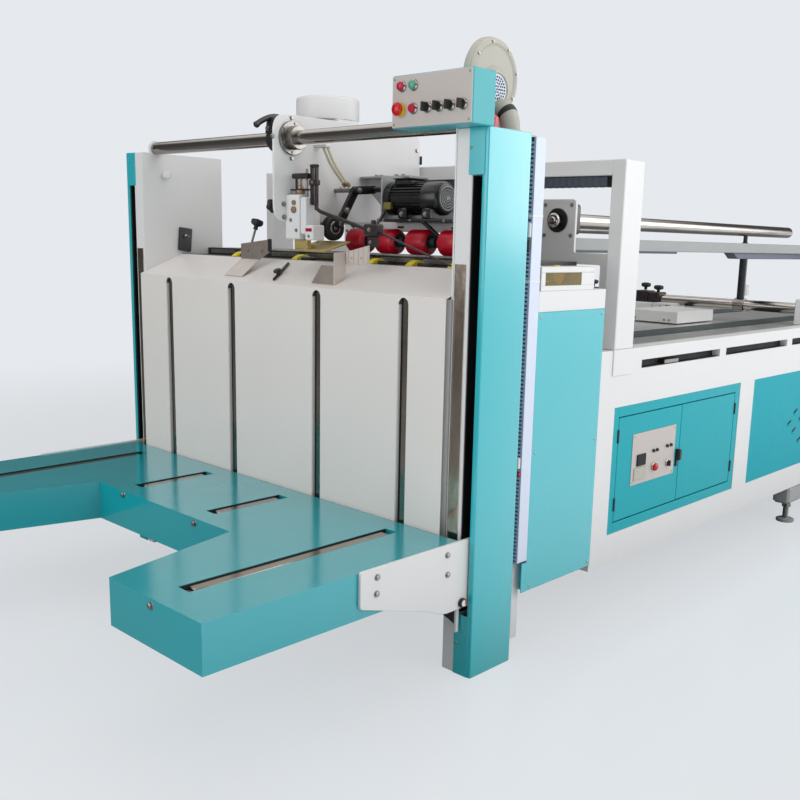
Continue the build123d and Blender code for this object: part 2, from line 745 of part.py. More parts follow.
def cross_members():
    """Box beams between the two side frames, and the closing panel at the rear end."""
    beams = None
    for near in CROSS_BEAMS:
        low = block(-FRAME_IN, FRAME_IN, near, near + 80, FRAME_FOOT, BAY_FOOT - 20)
        beams = low if beams is None else beams + low
    return beams + block(-FRAME_IN, FRAME_IN, REAR_END - 40, REAR_END, FRAME_FOOT, BED_TOP - 20)


def feet():
    """Pressed brackets under the bottom rails, each with a threaded stem and a round pad."""
    pads = None
    for middle in FOOT_PLACES:
        foot = block(1020, FRAME_OUT, middle - 95, middle + 95, 120, FRAME_FOOT)
        foot += rod_z(1067, middle, 20, 120, 16) + rod_z(1067, middle, 0, 20, 50)
        pads = foot if pads is None else pads + foot
    return both_sides(pads)


def bed_table():
    return block(-FRAME_IN, FRAME_IN, FEEDER_END_Y, REAR_END - 40, BED_TOP - 50, BED_TOP - 20)


def bed_sheets():
    """Grey runway sheets along both sides and down the middle."""
    side = block(886, FRAME_IN, FEEDER_END_Y, REAR_END - 40, BED_TOP - 20, BED_TOP)
    inner = block(330, 700, FEEDER_END_Y, REAR_END - 40, BED_TOP - 20, BED_TOP - 4)
    middle = block(-150, 150, FEEDER_END_Y, REAR_END - 40, BED_TOP - 20, BED_TOP - 4)
    return both_sides(side + inner) + middle


def bed_belts():
    """Dark transport belts, each a closed loop lying flat in its runway."""
    outer = block(720, 866, FEEDER_END_Y + 40, REAR_END - 80, BED_TOP - 20, BED_TOP + 2)
    inner = block(170, 310, FEEDER_END_Y + 40, REAR_END - 80, BED_TOP - 20, BED_TOP + 2)
    return both_sides(outer + inner)


def gantry_post(start, top):
    """Post on the side frame, with the lap that bolts to the frame's outer face."""
    end = start + GANTRY_DEPTH
    post = block(HALF_WIDTH - GANTRY_POST, HALF_WIDTH, start, end, BED_TOP, top)
    return both_sides(post + block(FRAME_OUT, HALF_WIDTH, start, end, GANTRY_FOOT, BED_TOP))


def gantry_posts():
    """High posts at the front, and low ones at the rear that hold the folding beams' ends."""
    return gantry_post(GANTRY_Y, GANTRY_TOP) + gantry_post(REAR_GANTRY_Y, BEAM_TOP)


def gantry_beams():
    span = HALF_WIDTH - GANTRY_POST
    front = block(-span, span, GANTRY_Y, GANTRY_Y + GANTRY_DEPTH, GANTRY_TOP - GANTRY_BEAM,
                  GANTRY_TOP)
    rear = block(-span, span, REAR_GANTRY_Y, REAR_GANTRY_Y + GANTRY_DEPTH, BEAM_FOOT, BEAM_TOP)
    return front + rear


def cable_carrier():
    span = HALF_WIDTH - GANTRY_POST
    top = GANTRY_TOP - GANTRY_BEAM
    return block(-span, span, GANTRY_Y + 15, GANTRY_Y + 80, top - 42, top)


def folding_tubes():
    tube = rod_y(TUBE_X, TUBE_FRONT_Y, TUBE_END_Y, TUBE_Z, TUBE_R)
    tube = fillet(tube.edges().filter_by(GeomType.CIRCLE), 20)
    return both_sides(tube)


def support_plates():
    """Stepped plates across the bed: a head with a ring and a clamp flange, an arm and a leg."""
    outline = [
        (TUBE_X - 95, 1450),
        (TUBE_X - 95, 1725),
        (TUBE_X + 92, 1725),
        (TUBE_X + 92, 1500),
        (930, 1500),
        (930, BED_TOP),
        (880, BED_TOP),
        (880, 1450),
    ]
    plate = front_profile(outline, SUPPORT_Y, SUPPORT_Y + SUPPORT_THICK)
    near = SUPPORT_Y + SUPPORT_THICK
    flange = block(TUBE_X - 85, TUBE_X + 85, near, near + 36, TUBE_Z - 60, TUBE_Z + 70)
    flange = fillet(flange.edges().filter_by(Axis.Y), 20)
    ring = rod_y(TUBE_X, SUPPORT_Y - 10, SUPPORT_Y, TUBE_Z, 52)
    bore = rod_y(TUBE_X, SUPPORT_Y - 11, near + 37, TUBE_Z, TUBE_R + RUN_FIT)
    return both_sides(plate + flange + ring - bore)


def folding_beams():
    """Grey beams under the tubes, each with a dark blue strip below, cut slanting at the front."""
    near = SUPPORT_Y + SUPPORT_THICK
    beam = block(TUBE_X - BEAM_HALF, TUBE_X + BEAM_HALF, near, REAR_GANTRY_Y, BEAM_FOOT, BEAM_TOP)
    outline = [
        (GUARD_Y, BEAM_FOOT),
        (REAR_GANTRY_Y, BEAM_FOOT),
        (REAR_GANTRY_Y, GUARD_FOOT),
        (GUARD_Y + 60, GUARD_FOOT),
    ]
    return both_sides(beam + side_profile(outline, TUBE_X - 30, TUBE_X + 30))


def beam_posts():
    """Short stud between tube and beam, and the black leaning post down to the low shaft."""
    stud = rod_z(TUBE_X, LOW_SHAFT_Y, BEAM_TOP, TUBE_Z - TUBE_R + 6, 12)
    stud -= rod_y(TUBE_X, LOW_SHAFT_Y - 20, LOW_SHAFT_Y + 20, TUBE_Z, TUBE_R + RUN_FIT)
    post = rod_z(TUBE_X, LOW_SHAFT_Y, LOW_SHAFT_Z + 20, GUARD_FOOT, 22)
    collar = rod_x(TUBE_X - 35, TUBE_X + 35, LOW_SHAFT_Y, LOW_SHAFT_Z, 50)
    post += collar
    post -= rod_x(TUBE_X - 36, TUBE_X + 36, LOW_SHAFT_Y, LOW_SHAFT_Z, LOW_SHAFT_R + RUN_FIT)
    return both_sides(stud + post)


def low_shaft():
    return rod_x(-FRAME_IN, FRAME_IN, LOW_SHAFT_Y, LOW_SHAFT_Z, LOW_SHAFT_R)


def shaft_blocks():
    """White bearing blocks of the low shaft, two carriages on it, and two boxes ahead of them."""
    near = LOW_SHAFT_Y - 55
    far = LOW_SHAFT_Y + 55
    blocks = block(FRAME_IN - 40, FRAME_OUT, near, far, BED_TOP, LOW_SHAFT_Z + 55)
    blocks += block(330, 620, BELT_BOX_Y, BELT_BOX_Y + 410, BED_TOP + 2, BELT_BOX_TOP)
    blocks = both_sides(blocks)
    for left in CARRIAGE_STARTS:
        blocks += block(left, left + 310, near - 60, far, BED_TOP + 2, BELT_BOX_TOP)
        blocks += block(left, left + 180, near + 5, far - 5, BELT_BOX_TOP, CARRIAGE_TOP)
    return blocks - rod_x(-FRAME_IN, FRAME_IN, LOW_SHAFT_Y, LOW_SHAFT_Z, LOW_SHAFT_R + RUN_FIT)


def block_knobs():
    """Black star knobs that clamp the carriages on the low shaft."""
    knobs = None
    for left in CARRIAGE_STARTS:
        for middle, head in ((left + 58, CARRIAGE_TOP + 22), (left + 148, CARRIAGE_TOP + 10)):
            knob = rod_z(middle, LOW_SHAFT_Y, CARRIAGE_TOP, head, 9)
            knob += rod_z(middle, LOW_SHAFT_Y, head, head + 28, 28)
            knobs = knob if knobs is None else knobs + knob
    return knobs


PIECES = (
    column_posts, column_covers, cable_ducts, side_plates, front_wall, wall_strips, feeder_body,
    feeder_panels, feeder_caps, feed_deck, feed_wheels, sheet_guides, cross_shaft, control_box,
    control_buttons, blower_housing, blower_outlet, head_plate, shaft_collar,
    head_clamps, head_drum, head_motor, motor_bracket, head_casting, guide_bars, head_wheel,
    crank_arms, head_hoses, sole_plate, roller_rail, roller_arms, press_rollers, table_back,
    table_arms, table_bars, table_brackets, side_top_rails, side_bottom_rails, side_mullions,
    bay_panels, door_surround, front_door, rear_door, door_controls, cabinet_shell,
    cross_members, feet, bed_table, bed_sheets, bed_belts, gantry_posts, gantry_beams,
    cable_carrier, folding_tubes, support_plates, folding_beams, beam_posts,
    low_shaft, shaft_blocks, block_knobs,
)

for piece in PIECES:
    save(piece.__name__, piece())
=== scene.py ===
import math

import bpy
import numpy as np
from mathutils import Matrix, Vector


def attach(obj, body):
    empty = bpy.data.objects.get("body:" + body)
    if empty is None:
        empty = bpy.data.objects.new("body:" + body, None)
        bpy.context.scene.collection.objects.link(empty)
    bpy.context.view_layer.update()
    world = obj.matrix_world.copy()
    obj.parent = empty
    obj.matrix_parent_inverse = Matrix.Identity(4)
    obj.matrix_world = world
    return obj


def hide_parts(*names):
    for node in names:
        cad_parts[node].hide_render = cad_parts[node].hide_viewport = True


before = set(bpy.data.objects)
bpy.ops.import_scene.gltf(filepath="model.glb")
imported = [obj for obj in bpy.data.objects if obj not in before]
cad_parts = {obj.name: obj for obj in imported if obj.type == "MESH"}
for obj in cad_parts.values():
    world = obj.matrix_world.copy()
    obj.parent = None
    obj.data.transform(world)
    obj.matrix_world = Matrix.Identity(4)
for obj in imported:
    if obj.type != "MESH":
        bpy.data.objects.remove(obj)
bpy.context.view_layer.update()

# Posts. Two box posts of steel, powder coated white, carry the lifting table and the head's
# shaft. A shallower post stands behind each, welded to it, and holds the cable duct.

FRONT_Y = -1.835  # the posts' front faces; every size in this file counts Y from there
POST_IN = 0.984
POST_OUT = 1.053
COLUMN_TOP = 1.9
INNER = 0.978  # half the width between the side plates
OUTER = 1.121  # half the width over the column covers
X, Y, Z = np.eye(3)


class Value:
    """A number that changes over a surface. A sum of such numbers adds the finish's Math nodes."""

    def __init__(self, finish, socket):
        self.finish = finish
        self.socket = socket

    def combined(self, operation, first, second):
        return self.finish.node("ShaderNodeMath", {"operation": operation}, {0: first, 1: second})

    def __add__(self, other):
        return self.combined("ADD", self, other)

    def __sub__(self, other):
        return self.combined("SUBTRACT", self, other)

    def __rsub__(self, other):
        return self.combined("SUBTRACT", other, self)

    def __mul__(self, other):
        return self.combined("MULTIPLY", self, other)

    __radd__ = __add__
    __rmul__ = __mul__


class Finish:
    """A finish: constants set on its shader, and one method that adds any other node."""

    def __init__(self, name, constants):
        self.material = bpy.data.materials.new(name)
        self.material.use_nodes = True
        self.tree = self.material.node_tree
        self.shader = self.tree.nodes["Principled BSDF"]
        for socket, value in constants.items():
            self.shader.inputs[socket].default_value = value
        self.place = self.node("ShaderNodeTexCoord", out="Object")

    def node(self, kind, settings=None, sockets=None, out=0):
        """Adds a node: its settings first, then its sockets, as constants or as links."""
        made = self.tree.nodes.new(kind)
        for name, setting in (settings or {}).items():
            setattr(made, name, setting)
        for key, value in (sockets or {}).items():
            if isinstance(value, Value):
                self.tree.links.new(value.socket, made.inputs[key])
            else:
                made.inputs[key].default_value = value
        return Value(self, made.outputs[out])

    def feed(self, socket, value):
        self.tree.links.new(value.socket, self.shader.inputs[socket])

    def cloud(self, size, stretch=(1, 1, 1)):
        """Soft noise whose blobs are size metres across, drawn out along each axis by stretch."""
        scale = tuple(1 / (size * part) for part in stretch)
        spot = self.node("ShaderNodeMapping", None, {"Vector": self.place, "Scale": scale})
        return self.node("ShaderNodeTexNoise", None, {"Vector": spot, "Scale": 1, "Detail": 3})

    def along(self, axis):
        """How far a point lies along X, Y or Z, given as 0, 1 or 2, in the row frame."""
        return self.node("ShaderNodeSeparateXYZ", None, {0: self.place}, axis)

    def tint(self, low, high, share):
        """Goes from one eight-bit colour to another as share goes from 0 to 1."""
        return self.node("ShaderNodeMix", {"data_type": "RGBA"},
                         {0: share, 6: shade(*low), 7: shade(*high)}, 2)

    def ramp(self, value, start, end):
        """Goes smoothly from 0 to 1 as value goes from start to end."""
        return self.node("ShaderNodeMapRange", {"interpolation_type": "SMOOTHSTEP"},
                         {"Value": value, "From Min": start, "From Max": end})

    def ripple(self, height):
        """Turns the normal as a surface of that height, in metres, would."""
        self.feed("Normal", self.node("ShaderNodeBump", None, {"Distance": 1, "Height": height}))


def shade(red, green, blue):
    """A shader colour: each eight-bit value over 255, raised to 2.2."""
    return tuple(float((part / 255) ** 2.2) for part in (red, green, blue)) + (1.0,)


def powder_coat(name, colour, deep, roughness, peel=2e-5, wave=3e-5, coat=0.0, gloss=0.5):
    """Powder coat: colour drifts to a deeper one in soft clouds, gloss in smears that hands
    leave, and the normal follows orange peel a few millimetres wide on slightly wavy sheet."""
    finish = Finish(name, {"Coat Weight": coat, "Coat Roughness": 0.14,
                           "Specular IOR Level": gloss})
    finish.feed("Base Color", finish.tint(colour, deep, finish.cloud(0.45)))
    finish.feed("Roughness", roughness + 0.16 * (finish.cloud(0.07, (1, 1, 3)) - 0.5))
    finish.ripple(peel * finish.cloud(0.003) + wave * finish.cloud(0.3))
    return finish


def loft(rings):
    """Closed rings of equal counts, joined one to the next by quads, with a face on each end."""
    index = np.arange(rings.shape[0] * rings.shape[1]).reshape(rings.shape[:2])
    ahead = np.roll(index, -1, 1)
    quads = np.stack([index[:-1], ahead[:-1], ahead[1:], index[1:]], -1).reshape(-1, 4)
    ends = [index[0, ::-1].tolist(), index[-1].tolist()]
    return rings.reshape(-1, 3), quads.tolist() + ends


def joined(*shapes):
    """Several shapes as one: each one's face numbers move past the points before it."""
    points = np.vstack([shape[0] for shape in shapes])
    starts = np.cumsum([0] + [len(shape[0]) for shape in shapes])
    faces = [[corner + int(start) for corner in face]
             for shape, start in zip(shapes, starts) for face in shape[1]]
    return points, faces


def mirrored(*shapes):
    """The shapes' mirror image in the plane X = 0, with its faces turned round."""
    points, faces = joined(*shapes)
    return points * (-1, 1, 1), [face[::-1] for face in faces]


def both(*shapes):
    """Shapes and their mirror image in the plane X = 0."""
    return joined(*shapes, mirrored(*shapes))


def eased(outline, radius, steps=2):
    """Each corner C becomes steps points (1-t)^2 A + 2t(1-t) C + t^2 B, with A and B on its two
    sides a radius away; two points make a chamfer."""
    corner = np.asarray(outline, float)
    back = np.roll(corner, 1, 0) - corner
    on = np.roll(corner, -1, 0) - corner
    reach = np.broadcast_to(radius, len(corner))[:, None]
    a = corner + back / np.linalg.norm(back, axis=1)[:, None] * reach
    b = corner + on / np.linalg.norm(on, axis=1)[:, None] * reach
    t = np.linspace(0, 1, steps)[None, :, None]
    curve = (1 - t) ** 2 * a[:, None] + 2 * t * (1 - t) * corner[:, None] + t ** 2 * b[:, None]
    return curve.reshape(-1, 2)


def plate(outline, near, far, axis, edge=0.0015):
    """An outline carried from near to far along an axis, drawn in at both ends by the edge. Each
    corner draws in along the sum of its sides' inward normals, over one plus their product.
    Outlines are (y, z) along "x", (x, z) along "y" and (x, y) along "z"."""
    outline = np.asarray(outline, float)
    on = np.roll(outline, -1, 0)
    if np.sum(outline[:, 0] * on[:, 1] - on[:, 0] * outline[:, 1]) < 0:
        outline = outline[::-1]
    side = np.roll(outline, -1, 0) - outline
    side /= np.linalg.norm(side, axis=1)[:, None]
    inward = np.stack([-side[:, 1], side[:, 0]], 1)
    before = np.roll(inward, 1, 0)
    drawn = outline + edge * (inward + before) / (1 + np.sum(inward * before, 1))[:, None]
    flat = np.stack([drawn, outline, outline, drawn])
    heights = np.array([near, near + edge, far - edge, far])[:, None, None]
    rings = np.concatenate([flat, np.broadcast_to(heights, flat.shape[:2] + (1,))], 2)
    if axis == "y":
        rings = rings[:, ::-1]
    order = {"x": [2, 0, 1], "y": [0, 2, 1], "z": [0, 1, 2]}[axis]
    return loft(rings[..., order])


def box(x0, x1, y0, y1, z0, z1, edge=0.0015):
    """A block with all twelve edges chamfered."""
    corners = [(x0, y0), (x1, y0), (x1, y1), (x0, y1)]
    return plate(eased(corners, edge), z0, z1, "z", edge)


def fit(name, parts, stands_for=(), body="machine_frame"):
    """Makes one piece of parts, each a finish and its shapes, moves it to the row frame and
    hangs it on a body. Faces that meet at under 32 degrees are shaded as one."""
    finishes = list(dict.fromkeys(part[0] for part in parts))
    shapes = [joined(*part[1:]) for part in parts]
    points, faces = joined(*shapes)
    mesh = bpy.data.meshes.new(name)
    mesh.from_pydata(points + FRONT_Y * Y, [], faces)
    for finish in finishes:
        mesh.materials.append(finish.material)
    counts = [len(shape[1]) for shape in shapes]
    mesh.polygons.foreach_set("material_index",
                              np.repeat([finishes.index(part[0]) for part in parts], counts))
    mesh.polygons.foreach_set("use_smooth", np.ones(len(faces), bool))
    mesh.set_sharp_from_angle(angle=math.radians(32))
    piece = bpy.data.objects.new(name, mesh)
    bpy.context.scene.collection.objects.link(piece)
    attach(piece, body)
    if stands_for:
        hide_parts(*stands_for)
    return piece


white_coat = powder_coat("white_coat", (222, 221, 220), (214, 214, 214), 0.36, gloss=0.25)
fit("posts", [(white_coat, both(
    box(POST_IN, POST_OUT, 0, 0.237, 0, COLUMN_TOP, 0.003),
    box(POST_OUT, 1.088, 0.225, 0.306, 0.06, COLUMN_TOP, 0.002),
))], ["column_posts"])

# Column covers. Sheet steel 4 mm thick, folded round the outer side of each column and powder
# coated teal. A lid and a shoe close the slot's ends, each with one countersunk screw.

teal_coat = powder_coat("teal_coat", (40, 176, 186), (32, 169, 180), 0.24, coat=0.8)


def metal(name, metallic, colour, deep, patch, low, spread, grain, stretch=(1, 1, 1)):
    """Bare metal: its colour drifts to a deeper one in patches of that size, and its roughness
    rises from low by spread in a grain drawn out along each axis by stretch."""
    finish = Finish(name, {"Metallic": metallic})
    finish.feed("Base Color", finish.tint(colour, deep, finish.cloud(patch)))
    finish.feed("Roughness", low + spread * finish.cloud(grain, stretch))
    return finish


zinc = metal("zinc_screws", 1.0, (176, 174, 170), (120, 118, 114), 0.004, 0.28, 0.2, 0.002)


def turned(start, direction, profile, sides=28):
    """A lathe shape: for each (distance, radius) of the profile, a ring of that radius round the
    axis, that far from start along the direction."""
    direction = np.asarray(direction, float) / np.linalg.norm(direction)
    across = np.cross(direction, Y if abs(direction[1]) < 0.9 else X)
    across /= np.linalg.norm(across)
    turn = np.linspace(0, 2 * np.pi, sides, endpoint=False)[:, None]
    circle = np.cos(turn) * across + np.sin(turn) * np.cross(direction, across)
    distance, radius = np.array(profile, float).T
    centres = np.asarray(start, float) + distance[:, None] * direction
    return loft(centres[:, None] + circle[None] * radius[:, None, None])


def hex_bolt(spot, direction, across=0.009):
    """A washer of 1.3 times the head's radius, and a six-sided head with its top turned down."""
    washer = turned(spot, direction, [(0, 1.3 * across), (0.2 * across, 1.25 * across)], 20)
    head = turned(spot, direction, [(0.1 * across, across), (0.75 * across, across),
                                    (0.9 * across, 0.8 * across)], 6)
    return joined(washer, head)


def pan_screw(spot, direction, radius=0.005):
    """A low dome: height 0.6 of the radius, over five rings of a quarter sine."""
    bow = np.linspace(0, np.pi / 2, 5)
    profile = np.stack([0.6 * radius * np.sin(bow), radius * np.cos(bow) + 1e-4], 1)
    return turned(spot, direction, profile, 14)


cover_fold = eased([(1.098, 0), (OUTER, 0), (OUTER, 0.225), (1.088, 0.225), (1.088, 0.221),
                    (1.117, 0.221), (1.117, 0.004), (1.098, 0.004)],
                   [1e-3, 5e-3, 5e-3, 1e-3, 1e-3, 2e-3, 2e-3, 1e-3], 5)
fit("column_covers_folded", [
    (teal_coat, both(
        plate(cover_fold, 0, COLUMN_TOP, "z"),
        box(1.040, 1.108, -0.003, 0.001, 1.75, COLUMN_TOP),
        box(1.040, 1.108, -0.003, 0.001, 0, 0.23),
        box(POST_OUT, 1.117, 0.004, 0.221, 1.895, COLUMN_TOP),
    )),
    (zinc, both(pan_screw((1.05, -0.003, 1.835), -Y), pan_screw((1.052, -0.003, 0.12), -Y))),
], ["column_covers"])

# Slot lining. Black strips inside each column's slot, two along its sides and one at its back,
# are painted shade: they darken the slot's inside. The table's carriage runs between them.

black_paint = powder_coat("black_paint", (26, 26, 28), (36, 36, 38), 0.42)
fit("slot_shade_linings", [(black_paint, both(
    box(1.0532, 1.0562, 0.005, 0.21, 0.232, 1.748),
    box(1.0948, 1.0978, 0.005, 0.21, 0.232, 1.748),
    box(1.0532, 1.0978, 0.206, 0.212, 0.232, 1.748),
))], ())

# Cable ducts. Grey plastic trunking on each rear post: its front wall has a slot every 15 mm,
# and a lid snaps on at the side. The slotted walls carry the lid's grey painted darker, as
# painted shade on walls that face away from the light. Two ties and a small switch box sit on it.

DUCT_LOW = 0.367
DUCT_HIGH = 1.89
SLOT_PITCH = 0.0147


def moulded(name, colour, deep, roughness, grain=0.0015):
    """Moulded plastic: two close colours in small clouds, and a fine grain on the normal."""
    finish = Finish(name, {"Specular IOR Level": 0.45})
    finish.feed("Base Color", finish.tint(colour, deep, finish.cloud(0.03)))
    finish.feed("Roughness", roughness + 0.12 * (finish.cloud(0.01) - 0.5))
    finish.ripple(1.5e-5 * finish.cloud(grain))
    return finish


# The slotted walls' grey is painted shade: the lid's plastic, darkened for faces turned away from
# the light.
duct_grey = moulded("duct_grey", (166, 174, 200), (156, 165, 192), 0.5)
lid_grey = moulded("lid_grey", (208, 216, 232), (200, 209, 226), 0.42)
# This near-black plastic finish paints shade: the dark insides of the ducts, wall slots, belt
# housings and table slots, and the louvres' mouths. It also colours the door's display, the blower's
# guard and the block inside the cable carrier.
painted_shade_and_black = moulded("painted_shade_and_black", (22, 23, 28), (30, 31, 36), 0.8)
white_plastic = moulded("white_plastic", (226, 226, 224), (216, 216, 214), 0.4)
red_knob = moulded("red_knob", (176, 40, 48), (160, 32, 42), 0.4)
comb = [box(1.0975, 1.1115, 0.250, 0.252, foot, foot + 0.0085, 0.0004)
        for foot in np.arange(DUCT_LOW, DUCT_HIGH - 0.01, SLOT_PITCH)]
fit("slotted_ducts", [
    (duct_grey, both(
        box(1.088, 1.098, 0.250, 0.252, DUCT_LOW, DUCT_HIGH, 0.0005),
        box(1.111, 1.1195, 0.250, 0.252, DUCT_LOW, DUCT_HIGH, 0.0005),
        *comb,
    )),
    # A black block inside each duct paints the shade behind the slots.
    (painted_shade_and_black, both(box(1.089, 1.1185, 0.2525, 0.3045, DUCT_LOW, DUCT_HIGH, 0.001))),
    (lid_grey, both(box(1.1185, OUTER, 0.2495, 0.306, DUCT_LOW + 0.006, DUCT_HIGH, 0.001))),
    (white_plastic, both(
        box(1.087, 1.1225, 0.2475, 0.3065, 1.624, 1.632, 0.001),
        box(1.087, 1.1225, 0.2475, 0.3065, 1.401, 1.408, 0.001),
        box(1.100, 1.118, 0.240, 0.250, 1.555, 1.605, 0.003),
        box(1.096, 1.116, 0.238, 0.250, 0.732, 0.774, 0.003),
    )),
    (red_knob, both(turned((1.112, 0.250, 0.712), -Y, [(0, 0.007), (0.010, 0.007), (0.012, 0.005)],
                           16))),
    (black_paint, both(box(1.096, 1.117, 0.236, 0.250, 1.505, 1.545, 0.004))),
], ["cable_ducts"])

# Side plates. White sheet steel between the posts above the feeder; they hold the ends of the
# cross shaft in flanged bushes. A black switch and a pale knob sit on their inner faces.

grey_steel = metal("turned_steel", 1.0, (150, 147, 143), (112, 109, 106),
                   0.02, 0.24, 0.16, 0.004, (1, 1, 6))
SHAFT_Y = 0.07
SHAFT_Z = 1.92


def dress(finish, *names):
    """Gives CAD nodes that show as they are their finish."""
    for name in names:
        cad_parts[name].data.materials.clear()
        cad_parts[name].data.materials.append(finish.material)


dress(white_coat, "side_plates")
fit("side_plate_fittings", [
    (white_coat, both(turned((INNER, SHAFT_Y, SHAFT_Z), -X,
                             [(0, 0.037), (0.008, 0.037), (0.010, 0.035), (0.010, 0.029)]))),
    (black_paint, both(plate(eased([(0.176, 1.454), (0.246, 1.446), (0.256, 1.556),
                                    (0.186, 1.564)], 0.006, 4), 0.966, INNER, "x", 0.002))),
    (zinc, both(turned((0.966, 0.216, 1.520), -X, [(0, 0.008), (0.004, 0.008), (0.006, 0.004),
                                                   (0.028, 0.003)], 16))),
    (white_plastic, both(turned((INNER, 0.118, 1.804), -X, [
        (0, 0.012), (0.008, 0.012), (0.011, 0.020), (0.018, 0.020), (0.022, 0.015)]))),
], ())

# Front wall. One white sheet across the feeder with four slots open at the foot; its top folds
# back as a slope. The slots' edges fold in, and a polished strip stands behind each slot.

WALL_Y = -0.027
WALL_FOOT = 0.24
CREASE_Z = 1.345
SLOT_TOP = 1.335
SLOPE_Y = 0.195
SLOPE_Z = 1.436
WALL_SLOTS = (-0.734, -0.254, 0.302, 0.776)
SLOT_HALF = 0.025

wall_grey = powder_coat("wall_grey", (224, 219, 215), (216, 211, 207), 0.36, gloss=0.25)
mirror_sheet = metal("mirror_sheet", 1.0, (188, 176, 162), (150, 138, 124),
                     0.12, 0.10, 0.12, 0.01, (1, 1, 8))
mirror_sheet.ripple(6e-4 * mirror_sheet.cloud(0.06))


def wall_outline():
    """The front sheet's outline as (x, z): along the foot, up and over each slot by a half
    circle's worth of points, and back along the crease."""
    bow = np.linspace(np.pi, 0, 9)
    cap = np.stack([SLOT_HALF * np.cos(bow), SLOT_TOP - SLOT_HALF + SLOT_HALF * np.sin(bow)], 1)
    runs = [np.vstack([[middle - SLOT_HALF, WALL_FOOT], cap + (middle, 0),
                       [middle + SLOT_HALF, WALL_FOOT]]) for middle in WALL_SLOTS]
    return np.vstack([[-INNER, WALL_FOOT], *runs, [INNER, WALL_FOOT],
                      [INNER, CREASE_Z], [-INNER, CREASE_Z]])


def slope_z(y):
    """The slope's height at y, on a straight line from the crease to its upper edge."""
    return CREASE_Z + (y - WALL_Y) * (SLOPE_Z - CREASE_Z) / (SLOPE_Y - WALL_Y)


slope_fold = [(WALL_Y, CREASE_Z - 0.001), (SLOPE_Y, SLOPE_Z), (SLOPE_Y + 0.0015, SLOPE_Z - 0.004),
              (WALL_Y + 0.004, CREASE_Z - 0.004)]
slot_returns = [box(middle + side * SLOT_HALF - (0.0015 if side > 0 else 0.0005),
                    middle + side * SLOT_HALF + (0.0005 if side > 0 else 0.0015),
                    WALL_Y + 0.003, WALL_Y + 0.016, WALL_FOOT, SLOT_TOP - SLOT_HALF, 0.0004)
                for middle in WALL_SLOTS for side in (-1, 1)]
fit("slotted_wall", [(wall_grey,
    plate(wall_outline(), WALL_Y, WALL_Y + 0.004, "y", 0.0012),
    plate(slope_fold, -INNER, INNER, "x", 0.0008),
    *slot_returns,
)], ["front_wall"])
fit("slot_strips", [
    (mirror_sheet, *[box(middle - 0.010, middle + SLOT_HALF, -0.017, -0.010,
                         WALL_FOOT, SLOT_TOP - 0.004, 0.0025) for middle in WALL_SLOTS]),
    (mirror_sheet, both(box(0.992, 1.042, -0.003, 0.0, 0.3, 1.46, 0.001))),
    # Dark plates behind the strips paint the shade inside each wall slot.
    (painted_shade_and_black, *[box(middle - SLOT_HALF, middle + SLOT_HALF, -0.0098, -0.006,
                     WALL_FOOT, SLOT_TOP - 0.002, 0.0005) for middle in WALL_SLOTS]),
], ["wall_strips"])

# Feeder housing. A closed sheet steel body behind the wall, white, with screwed teal side panels
# and a white band above them.

SIDE_Y = 0.306
FEEDER_END = 0.735
PANEL_TOP = 1.295
dress(white_coat, "feeder_body")
panel_screws = [pan_screw((OUTER, y, z), X) for y in (0.326, 0.715) for z in (0.27, 0.78, 1.275)]
fit("feeder_side_panels", [
    (teal_coat, both(box(1.088, OUTER, SIDE_Y - 0.001, FEEDER_END, 0.25, PANEL_TOP, 0.002),
                     box(1.117, OUTER, SIDE_Y - 0.028, SIDE_Y + 0.001, 0.25, 0.365, 0.001))),
    (zinc, both(*panel_screws)),
], ["feeder_panels"])

# Belt housings. White sheet boxes on the band, each with a long window of amber acrylic; a
# yellow belt wheel and a thin yellow strip sit behind it, and a dark block behind them paints the
# shade inside the housing.

amber = Finish("amber_window", {"Transmission Weight": 0.9, "IOR": 1.49})
amber.feed("Base Color", amber.tint((214, 190, 60), (190, 160, 40), amber.cloud(0.05)))
amber.feed("Roughness", 0.04 + 0.06 * amber.cloud(0.01))
yellow_rubber = moulded("yellow_rubber", (222, 205, 34), (205, 186, 26), 0.45)
black_rubber = moulded("black_rubber", (30, 29, 29), (40, 39, 38), 0.62)
fit("belt_housings", [
    (white_coat, both(
        box(POST_IN, OUTER, SIDE_Y, FEEDER_END, PANEL_TOP, 1.37, 0.002),
        box(1.040, OUTER, 0.315, 0.65, 1.434, 1.455, 0.002),
        box(1.040, OUTER, 0.315, 0.65, 1.37, 1.388, 0.001),
        box(1.040, OUTER, 0.315, 0.34, 1.388, 1.434, 0.001),
        box(1.040, OUTER, 0.565, 0.65, 1.388, 1.434, 0.001),
    )),
    # This dark block is painted shade inside the housing, behind the window.
    (painted_shade_and_black, both(box(1.040, 1.062, 0.34, 0.565, 1.388, 1.434, 0.0005))),
    (yellow_rubber, both(
        turned((1.075, 0.455, 1.425), X, [(0, 0.030), (0.002, 0.034), (0.020, 0.034),
                                          (0.022, 0.030)]),
        box(1.078, 1.090, 0.345, 0.43, 1.399, 1.404, 0.001),
    )),
    (amber, both(box(1.1165, 1.119, 0.34, 0.565, 1.388, 1.434, 0.0004))),
], ["feeder_caps"])

# Feed deck. A black steel deck flush with the wall's top edge, with a cut-out over each feed
# wheel; behind the wheels it steps up, and grey slide plates are screwed on the step.

